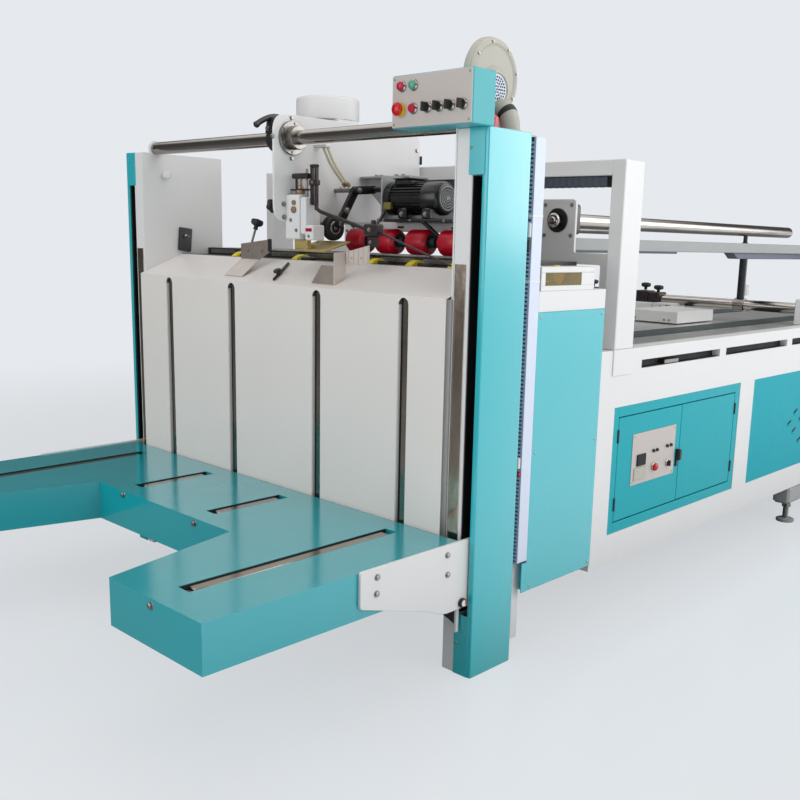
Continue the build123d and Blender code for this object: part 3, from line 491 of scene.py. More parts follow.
DECK_Z = 1.436
STEP_Z = 1.468
WHEEL_Y = 0.276
WHEEL_Z = 1.391
FEED_WHEELS = (-0.59, -0.15, 0.325, 0.545, 0.765)
dress(black_paint, "feed_deck")
slide_starts = np.arange(-0.97, 0.9, 0.243)
deck_blocks = [box(middle + 0.05, middle + 0.11, 0.226, 0.262, DECK_Z, DECK_Z + 0.014, 0.003)
               for middle in FEED_WHEELS]
fit("deck_fittings", [
    (grey_steel,
        box(-0.975, 0.975, 0.197, 0.205, DECK_Z - 0.001, DECK_Z + 0.0015, 0.0008),
        *[box(x, x + 0.235, 0.356, 0.72, STEP_Z - 0.0005, STEP_Z + 0.001, 0.0006)
          for x in slide_starts],
        *[box(x + 0.02, x + 0.215, 0.3505, 0.353, STEP_Z - 0.024, STEP_Z - 0.006, 0.0006)
          for x in slide_starts],
    ),
    (zinc, *[pan_screw((x + dx, 0.37, STEP_Z + 0.001), Z, 0.004)
             for x in slide_starts for dx in (0.02, 0.215)]),
    (black_paint, *deck_blocks),
], ())

# Feed wheels. Yellow polyurethane tyres with rounded rims, cast on dark hubs; all five are keyed
# on one ground steel shaft under the deck and turn together.

tyre = [(-0.020, 0.046), (-0.020, 0.060), (-0.017, 0.066), (-0.012, 0.068), (0.012, 0.068),
        (0.017, 0.066), (0.020, 0.060), (0.020, 0.046)]
fit("feed_wheel_set", [
    (yellow_rubber, *[turned((x, WHEEL_Y, WHEEL_Z), X, tyre, 40) for x in FEED_WHEELS]),
    (black_rubber, *[turned((x, WHEEL_Y, WHEEL_Z), X, [(-0.0203, 0.030), (-0.0203, 0.0455),
                                                       (0.0203, 0.0455), (0.0203, 0.030)])
                     for x in FEED_WHEELS]),
    (grey_steel, turned((-0.96, WHEEL_Y, WHEEL_Z), X, [(0, 0.0085), (0.0015, 0.010),
                                                       (1.9185, 0.010), (1.92, 0.0085)])),
], ["feed_wheels"], "feed_wheel_shaft")

# Sheet guides. Two folded stainless guides stand on the slope: an upright across the machine and
# a three-cornered cheek to the front. The right one carries a row of fixing bars.

brushed_sheet = metal("brushed_sheet", 0.9, (196, 184, 174), (164, 152, 143),
                      0.06, 0.30, 0.16, 0.003, (12, 1, 1))


def star_knob(spot, direction, radius=0.027):
    """Five-lobed knob: the rim's radius goes up and down by 12% five times round; a stem holds
    it off its seat."""
    turn = np.linspace(0, 2 * np.pi, 40, endpoint=False)
    lobes = 1 + 0.12 * np.cos(5 * turn)
    profile = np.array([(0.016, 0.45), (0.020, 0.86), (0.026, 1.0), (0.036, 1.0), (0.042, 0.86),
                        (0.045, 0.4)])
    direction = np.asarray(direction, float)
    across = np.cross(direction, Y if abs(direction[1]) < 0.9 else X)
    circle = (np.cos(turn)[:, None] * across
              + np.sin(turn)[:, None] * np.cross(direction, across)) * lobes[:, None]
    rings = (np.asarray(spot) + profile[:, 0, None, None] * direction
             + circle[None] * radius * profile[:, 1, None, None])
    return joined(loft(rings), turned(spot, direction, [(0, 0.010), (0.017, 0.009)], 16))


pale_sheet = metal("pale_sheet", 0.35, (214, 204, 198), (196, 184, 177),
                   0.05, 0.30, 0.16, 0.003, (1, 1, 12))
left_upright = [(-0.352, 1.430), (-0.225, 1.430), (-0.142, 1.472), (-0.142, 1.521),
                (-0.352, 1.498)]
ribs = [plate([(x, 1.439), (x + 0.014, 1.439), (x + 0.014, 1.4835 + 0.218 * (x - 0.372)),
               (x, 1.4805 + 0.218 * (x - 0.372))], 0.0565, 0.0605, "y", 0.001)
        for x in np.linspace(0.378, 0.486, 5)]
fit("stack_guides", [
    (brushed_sheet,
        plate(left_upright, 0.098, 0.101, "y", 0.0008),
        plate([(0.241, 1.359), (0.372, 1.359), (0.372, 1.430), (0.300, 1.430)], 0, 0.003, "y",
              0.0008),
    ),
    (pale_sheet,
        plate([(0.010, 1.361), (0.098, 1.430), (0.098, 1.434), (0.010, 1.365)], -0.352, -0.225,
              "x", 0.0008),
        plate([(0, slope_z(0)), (0.060, slope_z(0.06)), (0.060, 1.482), (0, 1.478)], 0.372, 0.375,
              "x", 0.0008),
        plate([(0.372, 1.437), (0.505, 1.437), (0.505, 1.511), (0.372, 1.482)], 0.060, 0.063,
              "y", 0.0008),
        *ribs,
    ),
    (black_paint, box(-0.160, -0.140, 0.096, 0.103, 1.468, 1.522, 0.001)),
    (zinc, *[hex_bolt((x, 0.098, 1.47), -Y, 0.006) for x in (-0.30, -0.20)],
           *[pan_screw((x + 0.007, 0.0565, 1.462), -Y, 0.004) for x in (0.405, 0.459)]),
], ["sheet_guides"])

# Guide knob. A slim bright steel rod stands on the left guide, and a moulded black star knob on
# its end clamps the guide where it is set.

fit("guide_knob", [
    (grey_steel, turned((-0.285, 0.101, 1.487), (0, 0.35, 1), [(0, 0.005), (0.08, 0.005)], 16)),
    (black_rubber, star_knob((-0.285, 0.126, 1.560), (0, 0.33, 0.944), 0.026)),
], ())

# Slope latch. A black painted steel latch bar lies up the slope and turns on a pivot under a
# small round knob.

SLOPE_UP = np.array([0, CREASE_Z - SLOPE_Z, SLOPE_Y - WALL_Y])
SLOPE_UP /= np.linalg.norm(SLOPE_UP)
latch_ends = np.array([(0.008, -0.002, slope_z(-0.002)), (-0.091, 0.155, slope_z(0.155))])
latch_seat = latch_ends[0] * 0.68 + latch_ends[1] * 0.32
fit("slope_latch", [
    (black_paint,
        turned(latch_ends[0] + 0.005 * SLOPE_UP, latch_ends[1] - latch_ends[0],
               [(0, 0.003), (0.006, 0.006), (0.188, 0.006), (0.195, 0.004)], 8),
        turned(latch_seat, SLOPE_UP, [(0, 0.008), (0.014, 0.008), (0.016, 0.017), (0.024, 0.017),
                                      (0.027, 0.013)], 24),
    ),
], ())

# Cross shaft. A hard chromed steel shaft, ground round, that sits in the side plates' bushes
# and carries the head.

chrome = metal("chrome", 1.0, (182, 176, 171), (150, 144, 139), 0.2, 0.09, 0.07, 0.02, (10, 1, 1))
fit("chrome_cross_shaft", [
    (chrome, turned((-POST_IN, SHAFT_Y, SHAFT_Z), X, [(0, 0.026), (0.002, 0.028),
                                                      (2 * POST_IN - 0.002, 0.028),
                                                      (2 * POST_IN, 0.026)], 40)),
], ["cross_shaft"])

# Control box. A teal sheet steel box on the column, with a printed face plate left bare of
# words: two lamps, a mushroom stop with its yellow collar, a push button and four selectors.

FACE_Y = -0.088
face_grey = powder_coat("face_grey", (188, 180, 175), (180, 172, 167), 0.42, peel=1e-5)
box_teal = powder_coat("box_teal", (84, 168, 174), (74, 160, 167), 0.34, gloss=0.25)
red_plastic = moulded("red_plastic", (196, 18, 22), (172, 12, 20), 0.22)
green_lamp = moulded("green_lamp", (84, 158, 130), (72, 146, 120), 0.2)
crimson_lamp = moulded("crimson_lamp", (190, 22, 62), (160, 14, 50), 0.2)
yellow_plastic = moulded("yellow_plastic", (232, 178, 20), (220, 164, 16), 0.3)


def bezel(x, z, radius=0.0185):
    """Chrome ring of a 22 mm control: a low step, then a rounded collar."""
    return turned((x, FACE_Y, z), -Y, [(0, radius), (0.003, radius), (0.005, radius - 0.001),
                                       (0.0075, radius - 0.004)], 32)


def lamp_dome(x, z, radius=0.0145):
    """Lens: a cylinder whose top is a quarter-sine dome."""
    bow = np.linspace(0, np.pi / 2, 7)
    dome = np.stack([0.012 + 0.007 * np.sin(bow), radius * np.cos(bow) + 2e-4], 1)
    return turned((x, FACE_Y, z), -Y, np.vstack([[0.004, radius], dome]), 28)


def selector(x, z):
    """Black selector: round boss with a tapered grip across it."""
    grip = eased([(x - 0.006, z - 0.014), (x + 0.006, z - 0.014), (x + 0.0045, z + 0.015),
                  (x - 0.0045, z + 0.015)], 0.0025, 4)
    boss = turned((x, FACE_Y, z), -Y, [(0.004, 0.014), (0.009, 0.0135), (0.010, 0.012)], 28)
    return joined(boss, plate(grip, FACE_Y - 0.030, FACE_Y - 0.009, "y", 0.0015))


SELECTORS = (0.929, 0.980, 1.031, 1.084)
dome = np.linspace(0, np.pi / 2, 9)
mushroom = np.vstack([[0.010, 0.010], [0.014, 0.0185], [0.0175, 0.0215],
                      np.stack([0.0185 + 0.011 * np.sin(dome), 0.022 * np.cos(dome) + 2e-4], 1)])
fit("control_box_sheet", [
    (box_teal, box(0.763, OUTER, -0.085, 0.025, 1.9, 2.07, 0.003)),
    (face_grey, box(0.766, 1.118, FACE_Y, -0.084, 1.903, 2.067, 0.001)),
    (zinc, *[pan_screw((x, FACE_Y, z), -Y, 0.004)
             for x in (0.776, 1.108) for z in (1.913, 2.057)]),
], ["control_box"])
fit("operator_controls", [
    (chrome, *[bezel(x, z) for x, z in ((0.812, 2.033), (0.866, 2.033), (0.866, 1.96))],
             *[bezel(x, 1.96) for x in SELECTORS]),
    (crimson_lamp, lamp_dome(0.812, 2.033)),
    (green_lamp, lamp_dome(0.866, 2.033)),
    (crimson_lamp, turned((0.866, FACE_Y, 1.96), -Y, [(0.004, 0.0135), (0.014, 0.0135),
                                                      (0.016, 0.012)])),
    (yellow_plastic, turned((0.806, FACE_Y, 1.96), -Y, [(0, 0.0215), (0.008, 0.0215),
                                                        (0.010, 0.0195)], 32)),
    (red_plastic, turned((0.806, FACE_Y, 1.96), -Y, mushroom, 36)),
    (black_rubber, *[selector(x, 1.96) for x in SELECTORS]),
], ["control_buttons"])

# Blower. A cast aluminium side-channel blower in beige paint stands on the column: wheel case
# with a stepped rim and ribs, guarded inlet, motor behind, and an elbow down into the column.

beige_cast = powder_coat("beige_cast", (180, 178, 168), (170, 168, 156), 0.46,
                         peel=9e-5, wave=6e-5, gloss=0.25)
red_rubber = moulded("red_rubber", (226, 96, 108), (216, 84, 98), 0.35)
BLOWER = np.array([0.95, 0.228, 2.095])
EYE = np.array([0.95, 0.228, 2.053])


def tube(path, radius, sides=14):
    """A round bar: at each point of the path, a ring square to the path's direction there."""
    path = np.asarray(path, float)
    run = np.gradient(path, axis=0)
    run /= np.linalg.norm(run, axis=1)[:, None]
    across = np.cross(run, np.eye(3)[np.argmin(np.abs(run).max(0))])
    across /= np.linalg.norm(across, axis=1)[:, None]
    turn = np.linspace(0, 2 * np.pi, sides, endpoint=False)[None, :, None]
    circle = np.cos(turn) * across[:, None] + np.sin(turn) * np.cross(run, across)[:, None]
    return loft(path[:, None] + circle * np.broadcast_to(radius, len(path))[:, None, None])


def bow(start, knee, end, steps=12):
    """A bend from start to end that leaves and arrives along the lines to its knee."""
    t = np.linspace(0, 1, steps)[:, None]
    start, knee, end = (np.asarray(spot, float) for spot in (start, knee, end))
    return (1 - t) ** 2 * start + 2 * t * (1 - t) * knee + t ** 2 * end


case = [(-0.045, 0.108), (-0.043, 0.122), (-0.036, 0.127), (-0.032, 0.131), (-0.018, 0.131),
        (-0.014, 0.127), (-0.006, 0.126), (0.0, 0.118), (0.001, 0.108), (-0.004, 0.100),
        (-0.004, 0.092)]
eye_ring = [(-0.004, 0.078), (0.001, 0.074), (0.004, 0.068), (0.010, 0.064), (0.012, 0.060),
            (0.012, 0.054), (0.006, 0.0505)]
fan_motor = [(-0.235, 0.050), (-0.232, 0.062), (-0.222, 0.067), (-0.185, 0.067), (-0.182, 0.062),
             (-0.062, 0.062), (-0.058, 0.068), (-0.044, 0.068)]
fins = [box(0.772, 0.884, *(EYE[1] + np.sort([0.060 * math.cos(a), 0.067 * math.cos(a)])
                            + (-0.0015, 0.0015)),
            *(EYE[2] + np.sort([0.060 * math.sin(a), 0.067 * math.sin(a)])
              + (-0.0015, 0.0015)), 0.0004) for a in np.linspace(0, 2 * np.pi, 24, endpoint=False)]
guard = [turned(EYE + (0.0065, r * math.cos(a), r * math.sin(a)), X,
                [(0, 0.0036), (0.0012, 0.0036)], 6)
         for r, count in ((0.0, 1), (0.011, 6), (0.021, 12), (0.031, 18), (0.041, 24))
         for a in np.linspace(0, 2 * np.pi, count, endpoint=False)]
fit("blower_case", [
    (beige_cast, turned(BLOWER, X, case, 64), turned(EYE, X, eye_ring, 48),
                 turned(EYE, X, fan_motor, 40), *fins),
    (zinc, *[hex_bolt(BLOWER + (0.001, 0.113 * math.cos(a), 0.113 * math.sin(a)), X,
                      0.0045) for a in np.linspace(0.2, 2 * np.pi + 0.2, 8, False)]),
    (lid_grey, turned(EYE, X, [(0.004, 0.0507), (0.0068, 0.0507)], 48)),
    (painted_shade_and_black, *guard),
], ["blower_housing"])
neck = bow((1.003, 0.250, 1.915), (1.006, 0.250, 1.985), (0.948, 0.250, 1.992))
fit("blower_stand", [
    (beige_cast,
        box(0.880, 1.053, 0.130, 0.310, 1.9, 1.908, 0.002),
        box(0.908, 0.945, 0.150, 0.300, 1.908, 1.985, 0.004),
        tube(neck, 0.034, 28),
        turned((1.003, 0.250, 1.908), Z, [(0, 0.040), (0.008, 0.040), (0.010, 0.038)], 28),
    ),
    (black_rubber, tube(neck[5:8], 0.0355, 28)),
    (red_rubber, box(0.962, 1.000, 0.165, 0.200, 1.908, 1.962, 0.009)),
], ["blower_outlet"])

# Head plate. A white plate hung on the cross shaft, its corners rounded; it carries the glue and
# press gear. A bolted steel collar holds it on the right, a split clamp with a lever on the left.

PLATE_L = 0.025
PLATE_R = 0.035
head_outline = eased([(-0.02, 1.59), (0.812, 1.59), (0.812, 2.01), (-0.02, 2.01)], 0.07, 9)
collar_bolts = [(SHAFT_Y + 0.095 * math.cos(a), SHAFT_Z + 0.078 * math.sin(a))
                for a in (0.0, math.pi / 2, math.pi, 3 * math.pi / 2)]
plate_bolts = collar_bolts[1:] + [(0.332, 1.735), (0.028, 1.662), (0.030, 1.611), (0.79, 1.93)]
fit("head_plate_white", [
    (white_coat, plate(head_outline, PLATE_L, PLATE_R, "x", 0.002)),
    (black_paint, box(PLATE_L - 0.006, PLATE_R + 0.010, 0.811, 0.819, 1.870, 1.908, 0.003)),
    (zinc, *[hex_bolt((PLATE_R, y, z), X, 0.008) for y, z in plate_bolts]),
], ["head_plate"])
fit("steel_collar", [
    (grey_steel,
        turned((PLATE_R, SHAFT_Y, SHAFT_Z), X, [(0, 0.066), (0.012, 0.066), (0.014, 0.064),
                                                (0.014, 0.030)], 44),
        turned((PLATE_R, SHAFT_Y, SHAFT_Z), X, [(0.014, 0.046), (0.050, 0.046), (0.052, 0.044),
                                                (0.052, 0.0285)], 44),
    ),
    (zinc, *[hex_bolt((PLATE_R + 0.014, SHAFT_Y + 0.056 * math.cos(a),
                       SHAFT_Z + 0.056 * math.sin(a)), X, 0.005)
             for a in np.linspace(0.4, 2 * np.pi + 0.4, 6, False)]),
], ["shaft_collar"])
lever = np.vstack([[(-0.033, 0.060, 2.002)],
                   bow((-0.033, 0.050, 2.004), (-0.033, 0.006, 2.004), (-0.033, -0.050, 1.966), 9)])
fit("clamp_and_knob", [
    (black_paint,
        turned((-0.067, SHAFT_Y, SHAFT_Z), X, [(0, 0.050), (0.002, 0.052), (0.088, 0.052),
                                               (0.090, 0.050)], 44),
        plate(eased([(0.002, 1.936), (0.040, 1.936), (0.055, 2.000), (0.012, 2.000)], 0.005, 4),
              -0.050, -0.015, "x", 0.003),
        tube(lever, 0.011, 16),
        turned((-0.033, -0.044, 1.969), (0, -0.83, -0.56), [(0, 0.012), (0.012, 0.013),
                                                            (0.016, 0.009)], 20),
    ),
    (black_rubber,
        turned((PLATE_L, 0.014, 1.655), -X, [(0, 0.011), (0.016, 0.011)], 20),
        star_knob((PLATE_L - 0.012, 0.014, 1.655), -X, 0.026)),
    (zinc, hex_bolt((-0.033, 0.003, 1.955), -Y, 0.008)),
], ["head_clamps"])

# Drum. A white sheet steel drum with a turned-over rim on a bracket at the plate's top: the
# motor cover of the press drive.

DRUM = (-0.110, 0.385, 2.022)
drum = [(0, 0.128), (0.002, 0.134), (0.010, 0.135), (0.083, 0.135), (0.090, 0.132),
        (0.095, 0.122), (0.096, 0.090)]
fit("head_drum_cover", [
    (white_coat, turned(DRUM, Z, drum, 64),
                 box(-0.065, PLATE_L, 0.325, 0.445, 1.96, 2.022, 0.003)),
    (zinc, *[pan_screw((-0.110, 0.385 + 0.135 * s, 2.03), s * Y, 0.004) for s in (-1, 1)]),
], ["head_drum"])

# Press motor. A black finned motor with a terminal box and a fan cowl, on a black foot plate; a
# grey bent shelf ties its flange to the head plate. Its type plate is bare.

MOTOR_Y = 0.385
MOTOR_Z = 1.697
alloy = metal("alloy", 0.9, (176, 176, 178), (148, 148, 150), 0.01, 0.3, 0.2, 0.004)
black_gloss = powder_coat("black_gloss", (20, 20, 22), (30, 30, 32), 0.30, peel=6e-5)
olive_plate = powder_coat("olive_plate", (120, 112, 48), (104, 96, 40), 0.45)
grey_coat = powder_coat("grey_coat", (158, 160, 160), (148, 150, 150), 0.38)
MOTOR_X = 0.300
FOOT_TOP = 1.615
motor_case = [(0, 0.062), (0.003, 0.066), (0.036, 0.066), (0.040, 0.056), (0.206, 0.056),
              (0.209, 0.066), (0.280, 0.066), (0.292, 0.061), (0.297, 0.056), (0.300, 0.050)]
motor_fins = []
for a in np.linspace(0, 2 * np.pi, 30, endpoint=False):
    tip = np.array([math.cos(a), math.sin(a)])
    flank = 0.0018 * np.array([-tip[1], tip[0]])
    middle = np.array([MOTOR_Y, MOTOR_Z])
    motor_fins.append(plate([middle + 0.055 * tip - flank, middle + 0.055 * tip + flank,
                             middle + 0.065 * tip + flank, middle + 0.065 * tip - flank],
                            0.342, 0.508, "x", 0.0006))
grille = [turned((MOTOR_X + 0.300, MOTOR_Y, MOTOR_Z), X,
                 [(0, radius), (0.0016, radius), (0.0016, radius - 0.004), (0, radius - 0.004)], 36)
          for radius in (0.046, 0.036, 0.026, 0.016)]
fit("press_motor", [
    (black_gloss,
        turned((MOTOR_X, MOTOR_Y, MOTOR_Z), X, motor_case, 48), *motor_fins,
        box(0.348, 0.442, MOTOR_Y - 0.046, MOTOR_Y + 0.046, MOTOR_Z + 0.050, MOTOR_Z + 0.074,
            0.005),
        box(0.344, 0.446, MOTOR_Y - 0.050, MOTOR_Y + 0.050, MOTOR_Z + 0.074, MOTOR_Z + 0.0785,
            0.002),
        *[box(x, x + 0.045, MOTOR_Y - 0.075, MOTOR_Y + 0.075, FOOT_TOP, MOTOR_Z - 0.040, 0.004)
          for x in (0.400, 0.530)],
    ),
    (grey_coat, *grille, turned((MOTOR_X + 0.300, MOTOR_Y, MOTOR_Z), X,
                                [(0, 0.009), (0.003, 0.008)], 20)),
    (olive_plate, box(0.312, 0.352, MOTOR_Y - 0.070, MOTOR_Y - 0.052, 1.652, 1.680, 0.002)),
    (zinc,
        *[hex_bolt((x, MOTOR_Y - 0.075, 1.634), -Y, 0.008) for x in (0.4225, 0.5525)],
        *[pan_screw((x, MOTOR_Y - 0.042, MOTOR_Z + 0.0785), Z, 0.004) for x in (0.352, 0.438)],
        *[hex_bolt((MOTOR_X, MOTOR_Y + 0.058 * math.cos(a), MOTOR_Z + 0.058 * math.sin(a)), X,
                   0.006) for a in (0.9, 2.3, 4.0, 5.4)],
    ),
], ["head_motor"])
brace = [(PLATE_R, 1.786), (PLATE_R, 1.760), (0.180, 1.640), (0.292, 1.640), (0.292, 1.786)]
fit("motor_shelf", [
    (grey_coat,
        box(PLATE_R, 0.330, 0.440, 0.560, 1.786, 1.794, 0.001),
        box(0.292, 0.300, 0.320, 0.560, 1.603, 1.787, 0.0015),
        plate(brace, 0.470, 0.476, "y", 0.001),
    ),
    (black_gloss, box(0.292, 0.70, 0.300, 0.470, 1.603, FOOT_TOP, 0.002)),
    (zinc, *[hex_bolt((x, 0.300, 1.609), -Y, 0.0045) for x in (0.33, 0.48, 0.66)],
           *[hex_bolt((x, 0.470, 1.794), Z, 0.009) for x in (0.11, 0.14, 0.23, 0.27)]),
], ["motor_bracket"])

# Glue head. A white casting with a brown valve, two adjusting rods and a cross bar, next to it a
# white block; two blued guide bars stand beside them, with the feeler arm at their foot.

bronze = metal("bronze", 0.85, (168, 146, 122), (128, 104, 82), 0.012, 0.32, 0.2, 0.006)
blued = metal("blued_steel", 0.7, (74, 66, 66), (46, 42, 44), 0.02, 0.30, 0.18, 0.005)
HEAD_Y = 0.045  # how far the glue head's front stands behind the plate's front edge


def shifted(shape, move):
    """The same shape, moved."""
    return shape[0] + np.asarray(move, float), shape[1]


def set_back(parts):
    """Parts of the glue head, moved back from the plate's front edge by HEAD_Y."""
    return [(finish, shifted(joined(*shapes), HEAD_Y * Y)) for finish, *shapes in parts]


casting = eased([(-0.008, 1.524), (0.090, 1.524), (0.090, 1.66), (0.070, 1.70), (-0.008, 1.70)],
                0.010, 5)
glue_head = [
    (white_coat,
        plate(casting, PLATE_R, 0.118, "x", 0.004),
        box(0.118, 0.150, 0.0, 0.080, 1.545, 1.690, 0.005),
        box(0.150, 0.198, -0.002, 0.060, 1.522, 1.582, 0.004),
    ),
    (bronze,
        turned((0.085, 0.030, 1.700), Z, [(0, 0.016), (0.004, 0.018), (0.020, 0.018),
                                          (0.024, 0.012), (0.034, 0.012), (0.036, 0.009)], 24),
        turned((0.092, -0.008, 1.640), -Y, [(0, 0.013), (0.008, 0.013), (0.010, 0.010)], 24),
        turned((0.092, -0.008, 1.668), -Y, [(0, 0.010), (0.006, 0.010), (0.008, 0.008)], 24),
    ),
    (blued,
        box(0.052, 0.150, 0.010, 0.050, 1.762, 1.782, 0.003),
        box(0.040, 0.140, 0.012, 0.044, 1.716, 1.722, 0.002),
        turned((0.060, 0.030, 1.70), Z, [(0, 0.005), (0.062, 0.005)], 14),
    ),
    (grey_steel, turned((0.125, 0.030, 1.690), Z, [(0, 0.006), (0.108, 0.006),
                                                   (0.110, 0.005)], 16),
                 turned((0.085, 0.030, 1.735), Z, [(0, 0.008), (0.044, 0.008)], 16)),
    (crimson_lamp, box(0.156, 0.193, -0.0045, -0.002, 1.556, 1.569, 0.0008)),
    (zinc, hex_bolt((0.174, -0.002, 1.538), -Y, 0.005),
           hex_bolt((0.070, -0.008, 1.600), -Y, 0.006),
           hex_bolt((0.104, -0.008, 1.560), -Y, 0.006)),
]
fit("glue_head", set_back(glue_head), ["head_casting"])
feeler_arm = np.vstack([bow((0.180, 0.030, 1.665), (0.180, 0.030, 1.640), (0.215, 0.030, 1.632),
                            6), [(0.48, 0.030, 1.568)]])
guide_set = [
    (blued,
        box(0.152, 0.162, 0.022, 0.038, 1.660, 1.815, 0.002),
        box(0.178, 0.188, 0.022, 0.038, 1.640, 1.815, 0.002),
        box(0.152, 0.188, 0.020, 0.040, 1.803, 1.815, 0.002),
        box(0.148, 0.194, 0.018, 0.042, 1.735, 1.757, 0.003),
        tube(feeler_arm, 0.0075, 12),
        box(0.470, 0.540, 0.014, 0.058, 1.545, 1.590, 0.005),
        turned((0.505, 0.036, 1.590), Z, [(0, 0.010), (0.012, 0.010), (0.014, 0.007)], 16),
        box(0.486, 0.524, 0.020, 0.050, 1.505, 1.545, 0.003),
        tube([(0.535, 0.036, 1.560), (0.900, 0.036, 1.450)], 0.004, 10),
        tube([(0.500, 0.050, 1.580), (0.352, 0.240, 1.640)], 0.006, 10),
    ),
    (zinc, hex_bolt((0.171, 0.018, 1.746), -Y, 0.006),
           hex_bolt((0.505, 0.014, 1.568), -Y, 0.007),
           hex_bolt((0.505, 0.020, 1.522), -Y, 0.006)),
]
fit("guide_bars_and_arm", set_back(guide_set), ["guide_bars"])

# Linkage. A rubber-tyred press wheel with an alloy hub, two black crank arms up to the motor, and
# two beige air hoses that come down from a clip on the plate to the arms' joint.

hub = [(0.006, 0.028), (0.034, 0.028), (0.036, 0.026), (0.036, 0.020), (0.032, 0.018),
       (0.032, 0.010), (0.036, 0.009), (0.038, 0.006)]
wheel_tyre = [(0.002, 0.030), (0.0, 0.040), (0.003, 0.049), (0.009, 0.052), (0.014, 0.0505),
              (0.018, 0.0505), (0.023, 0.052), (0.030, 0.050), (0.034, 0.044), (0.034, 0.030)]
fit("press_wheel", [
    (black_rubber, turned((0.104, 0.216, 1.574), X, wheel_tyre, 44)),
    (alloy, turned((0.104, 0.216, 1.574), X, hub, 32)),
    (grey_steel, turned((PLATE_R, 0.216, 1.59), X, [(0, 0.008), (0.072, 0.008)], 16)),
], ["head_wheel"])


def link(start, end, x0, x1, wide, ends=10):
    """A flat link: half circles round both pins, joined by straight flanks, in (y, z)."""
    start, end = np.asarray(start, float), np.asarray(end, float)
    lean = math.atan2(*(end - start)[::-1])
    round_end = np.linspace(-np.pi / 2, np.pi / 2, ends) + lean
    far = end + wide * np.stack([np.cos(round_end), np.sin(round_end)], 1)
    near = start - wide * np.stack([np.cos(round_end), np.sin(round_end)], 1)
    return plate(np.vstack([far, near]), x0, x1, "x", 0.0012)


WHEEL_PIN = (0.216, 1.590)
CRANK_PIN = (0.302, 1.728)
CRANK_END = (0.385, 1.735)
fit("crank_links", [
    (black_gloss,
        link(WHEEL_PIN, CRANK_PIN, 0.150, 0.168, 0.017),
        link(CRANK_PIN, CRANK_END, 0.168, 0.186, 0.017),
        turned((0.186, *CRANK_END), X, [(0, 0.012), (0.106, 0.012)], 20),
        turned((0.168, *CRANK_END), -X, [(0, 0.014), (0.010, 0.012)], 20),
    ),
    (grey_steel,
        turned((PLATE_R, *CRANK_PIN), X, [(0, 0.009), (0.155, 0.009), (0.157, 0.007)], 20),
        turned((0.140, *WHEEL_PIN), X, [(0, 0.012), (0.034, 0.012), (0.036, 0.010)], 24),
    ),
    (zinc, hex_bolt((0.168, 0.250, 1.645), X, 0.011),
           *[hex_bolt((0.186, *pin), X, 0.009) for pin in (CRANK_PIN, CRANK_END)]),
], ["crank_arms"])
hose_beige = moulded("hose_beige", (196, 188, 160), (170, 162, 136), 0.4)
hose_runs = np.array([[(0.082, 0.195, 1.893), (0.092, 0.225, 1.825), (0.112, 0.288, 1.746)],
                      [(0.100, 0.203, 1.893), (0.110, 0.232, 1.825), (0.132, 0.292, 1.746)]])
hose_paths = [np.vstack([run[:1], bow(run[0] * 0.4 + run[1] * 0.6, run[1],
                                      run[1] * 0.6 + run[2] * 0.4, 10), run[2:]])
              for run in hose_runs]
fit("air_hoses", [
    (hose_beige, *[tube(path, 0.0055, 14) for path in hose_paths]),
    (white_coat, box(PLATE_R, 0.112, 0.184, 0.215, 1.893, 1.905, 0.002)),
    (bronze, *[turned(run[2], run[1] - run[2], [(-0.004, 0.0085), (0.014, 0.0085),
                                                (0.016, 0.0065)], 6)
               for run in hose_runs]),
], ["head_hoses"])

# Sole plate. A bent brass plate with two bolts, on a foot under the casting; it presses the
# blank on the glue wheel.

brass = metal("dull_brass", 0.75, (206, 188, 132), (170, 150, 96), 0.03, 0.34, 0.2, 0.01)
sole = eased([(0.060, 1.478), (0.190, 1.514), (0.190, 1.522), (0.060, 1.486)], 0.001, 3)
fit("brass_sole", [
    (brass, plate(sole, 0.060, 0.255, "x", 0.001),
            box(0.060, 0.140, 0.062, 0.085, 1.486, 1.524, 0.002)),
    (zinc, *[hex_bolt((x, 0.160, 1.5137), (0, -0.27, 0.963), 0.006) for x in (0.09, 0.22)]),
], ["sole_plate"])

# Roller rail. A white box rail across the feeder; black arms bolted under it hold the axle of
# the press rollers.

ROLLER_Y = 0.35
ROLLER_Z = 1.526
ROLLER_FIRST = 0.088
ROLLER_PITCH = 0.175
fit("press_rail", [
    (white_coat, box(PLATE_R, INNER, 0.412, 0.448, 1.566, 1.603, 0.002)),
    (black_gloss, *[box(x, x + 0.036, 0.4105, 0.413, 1.580, 1.588, 0.0008)
                    for x in (0.30, 0.60, 0.86)]),
], ["roller_rail"])
arms = []
for index in range(5):
    middle = ROLLER_FIRST + index * ROLLER_PITCH - 0.015
    arms.append(joined(
        link((ROLLER_Y, ROLLER_Z), (0.434, 1.548), middle - 0.006, middle + 0.006, 0.018),
        box(middle - 0.006, middle + 0.006, 0.416, 0.448, 1.532, 1.566, 0.001),
    ))
fit("press_arms", [
    (black_gloss, *arms, tube([(0.545, 0.305, 1.606), (0.598, 0.352, 1.545)], 0.008, 12)),
], ["roller_arms"])

# Press rollers. Barrels of red polyurethane with chamfered ends, moulded on black hubs with a
# spacer between each pair; one steel axle carries them.

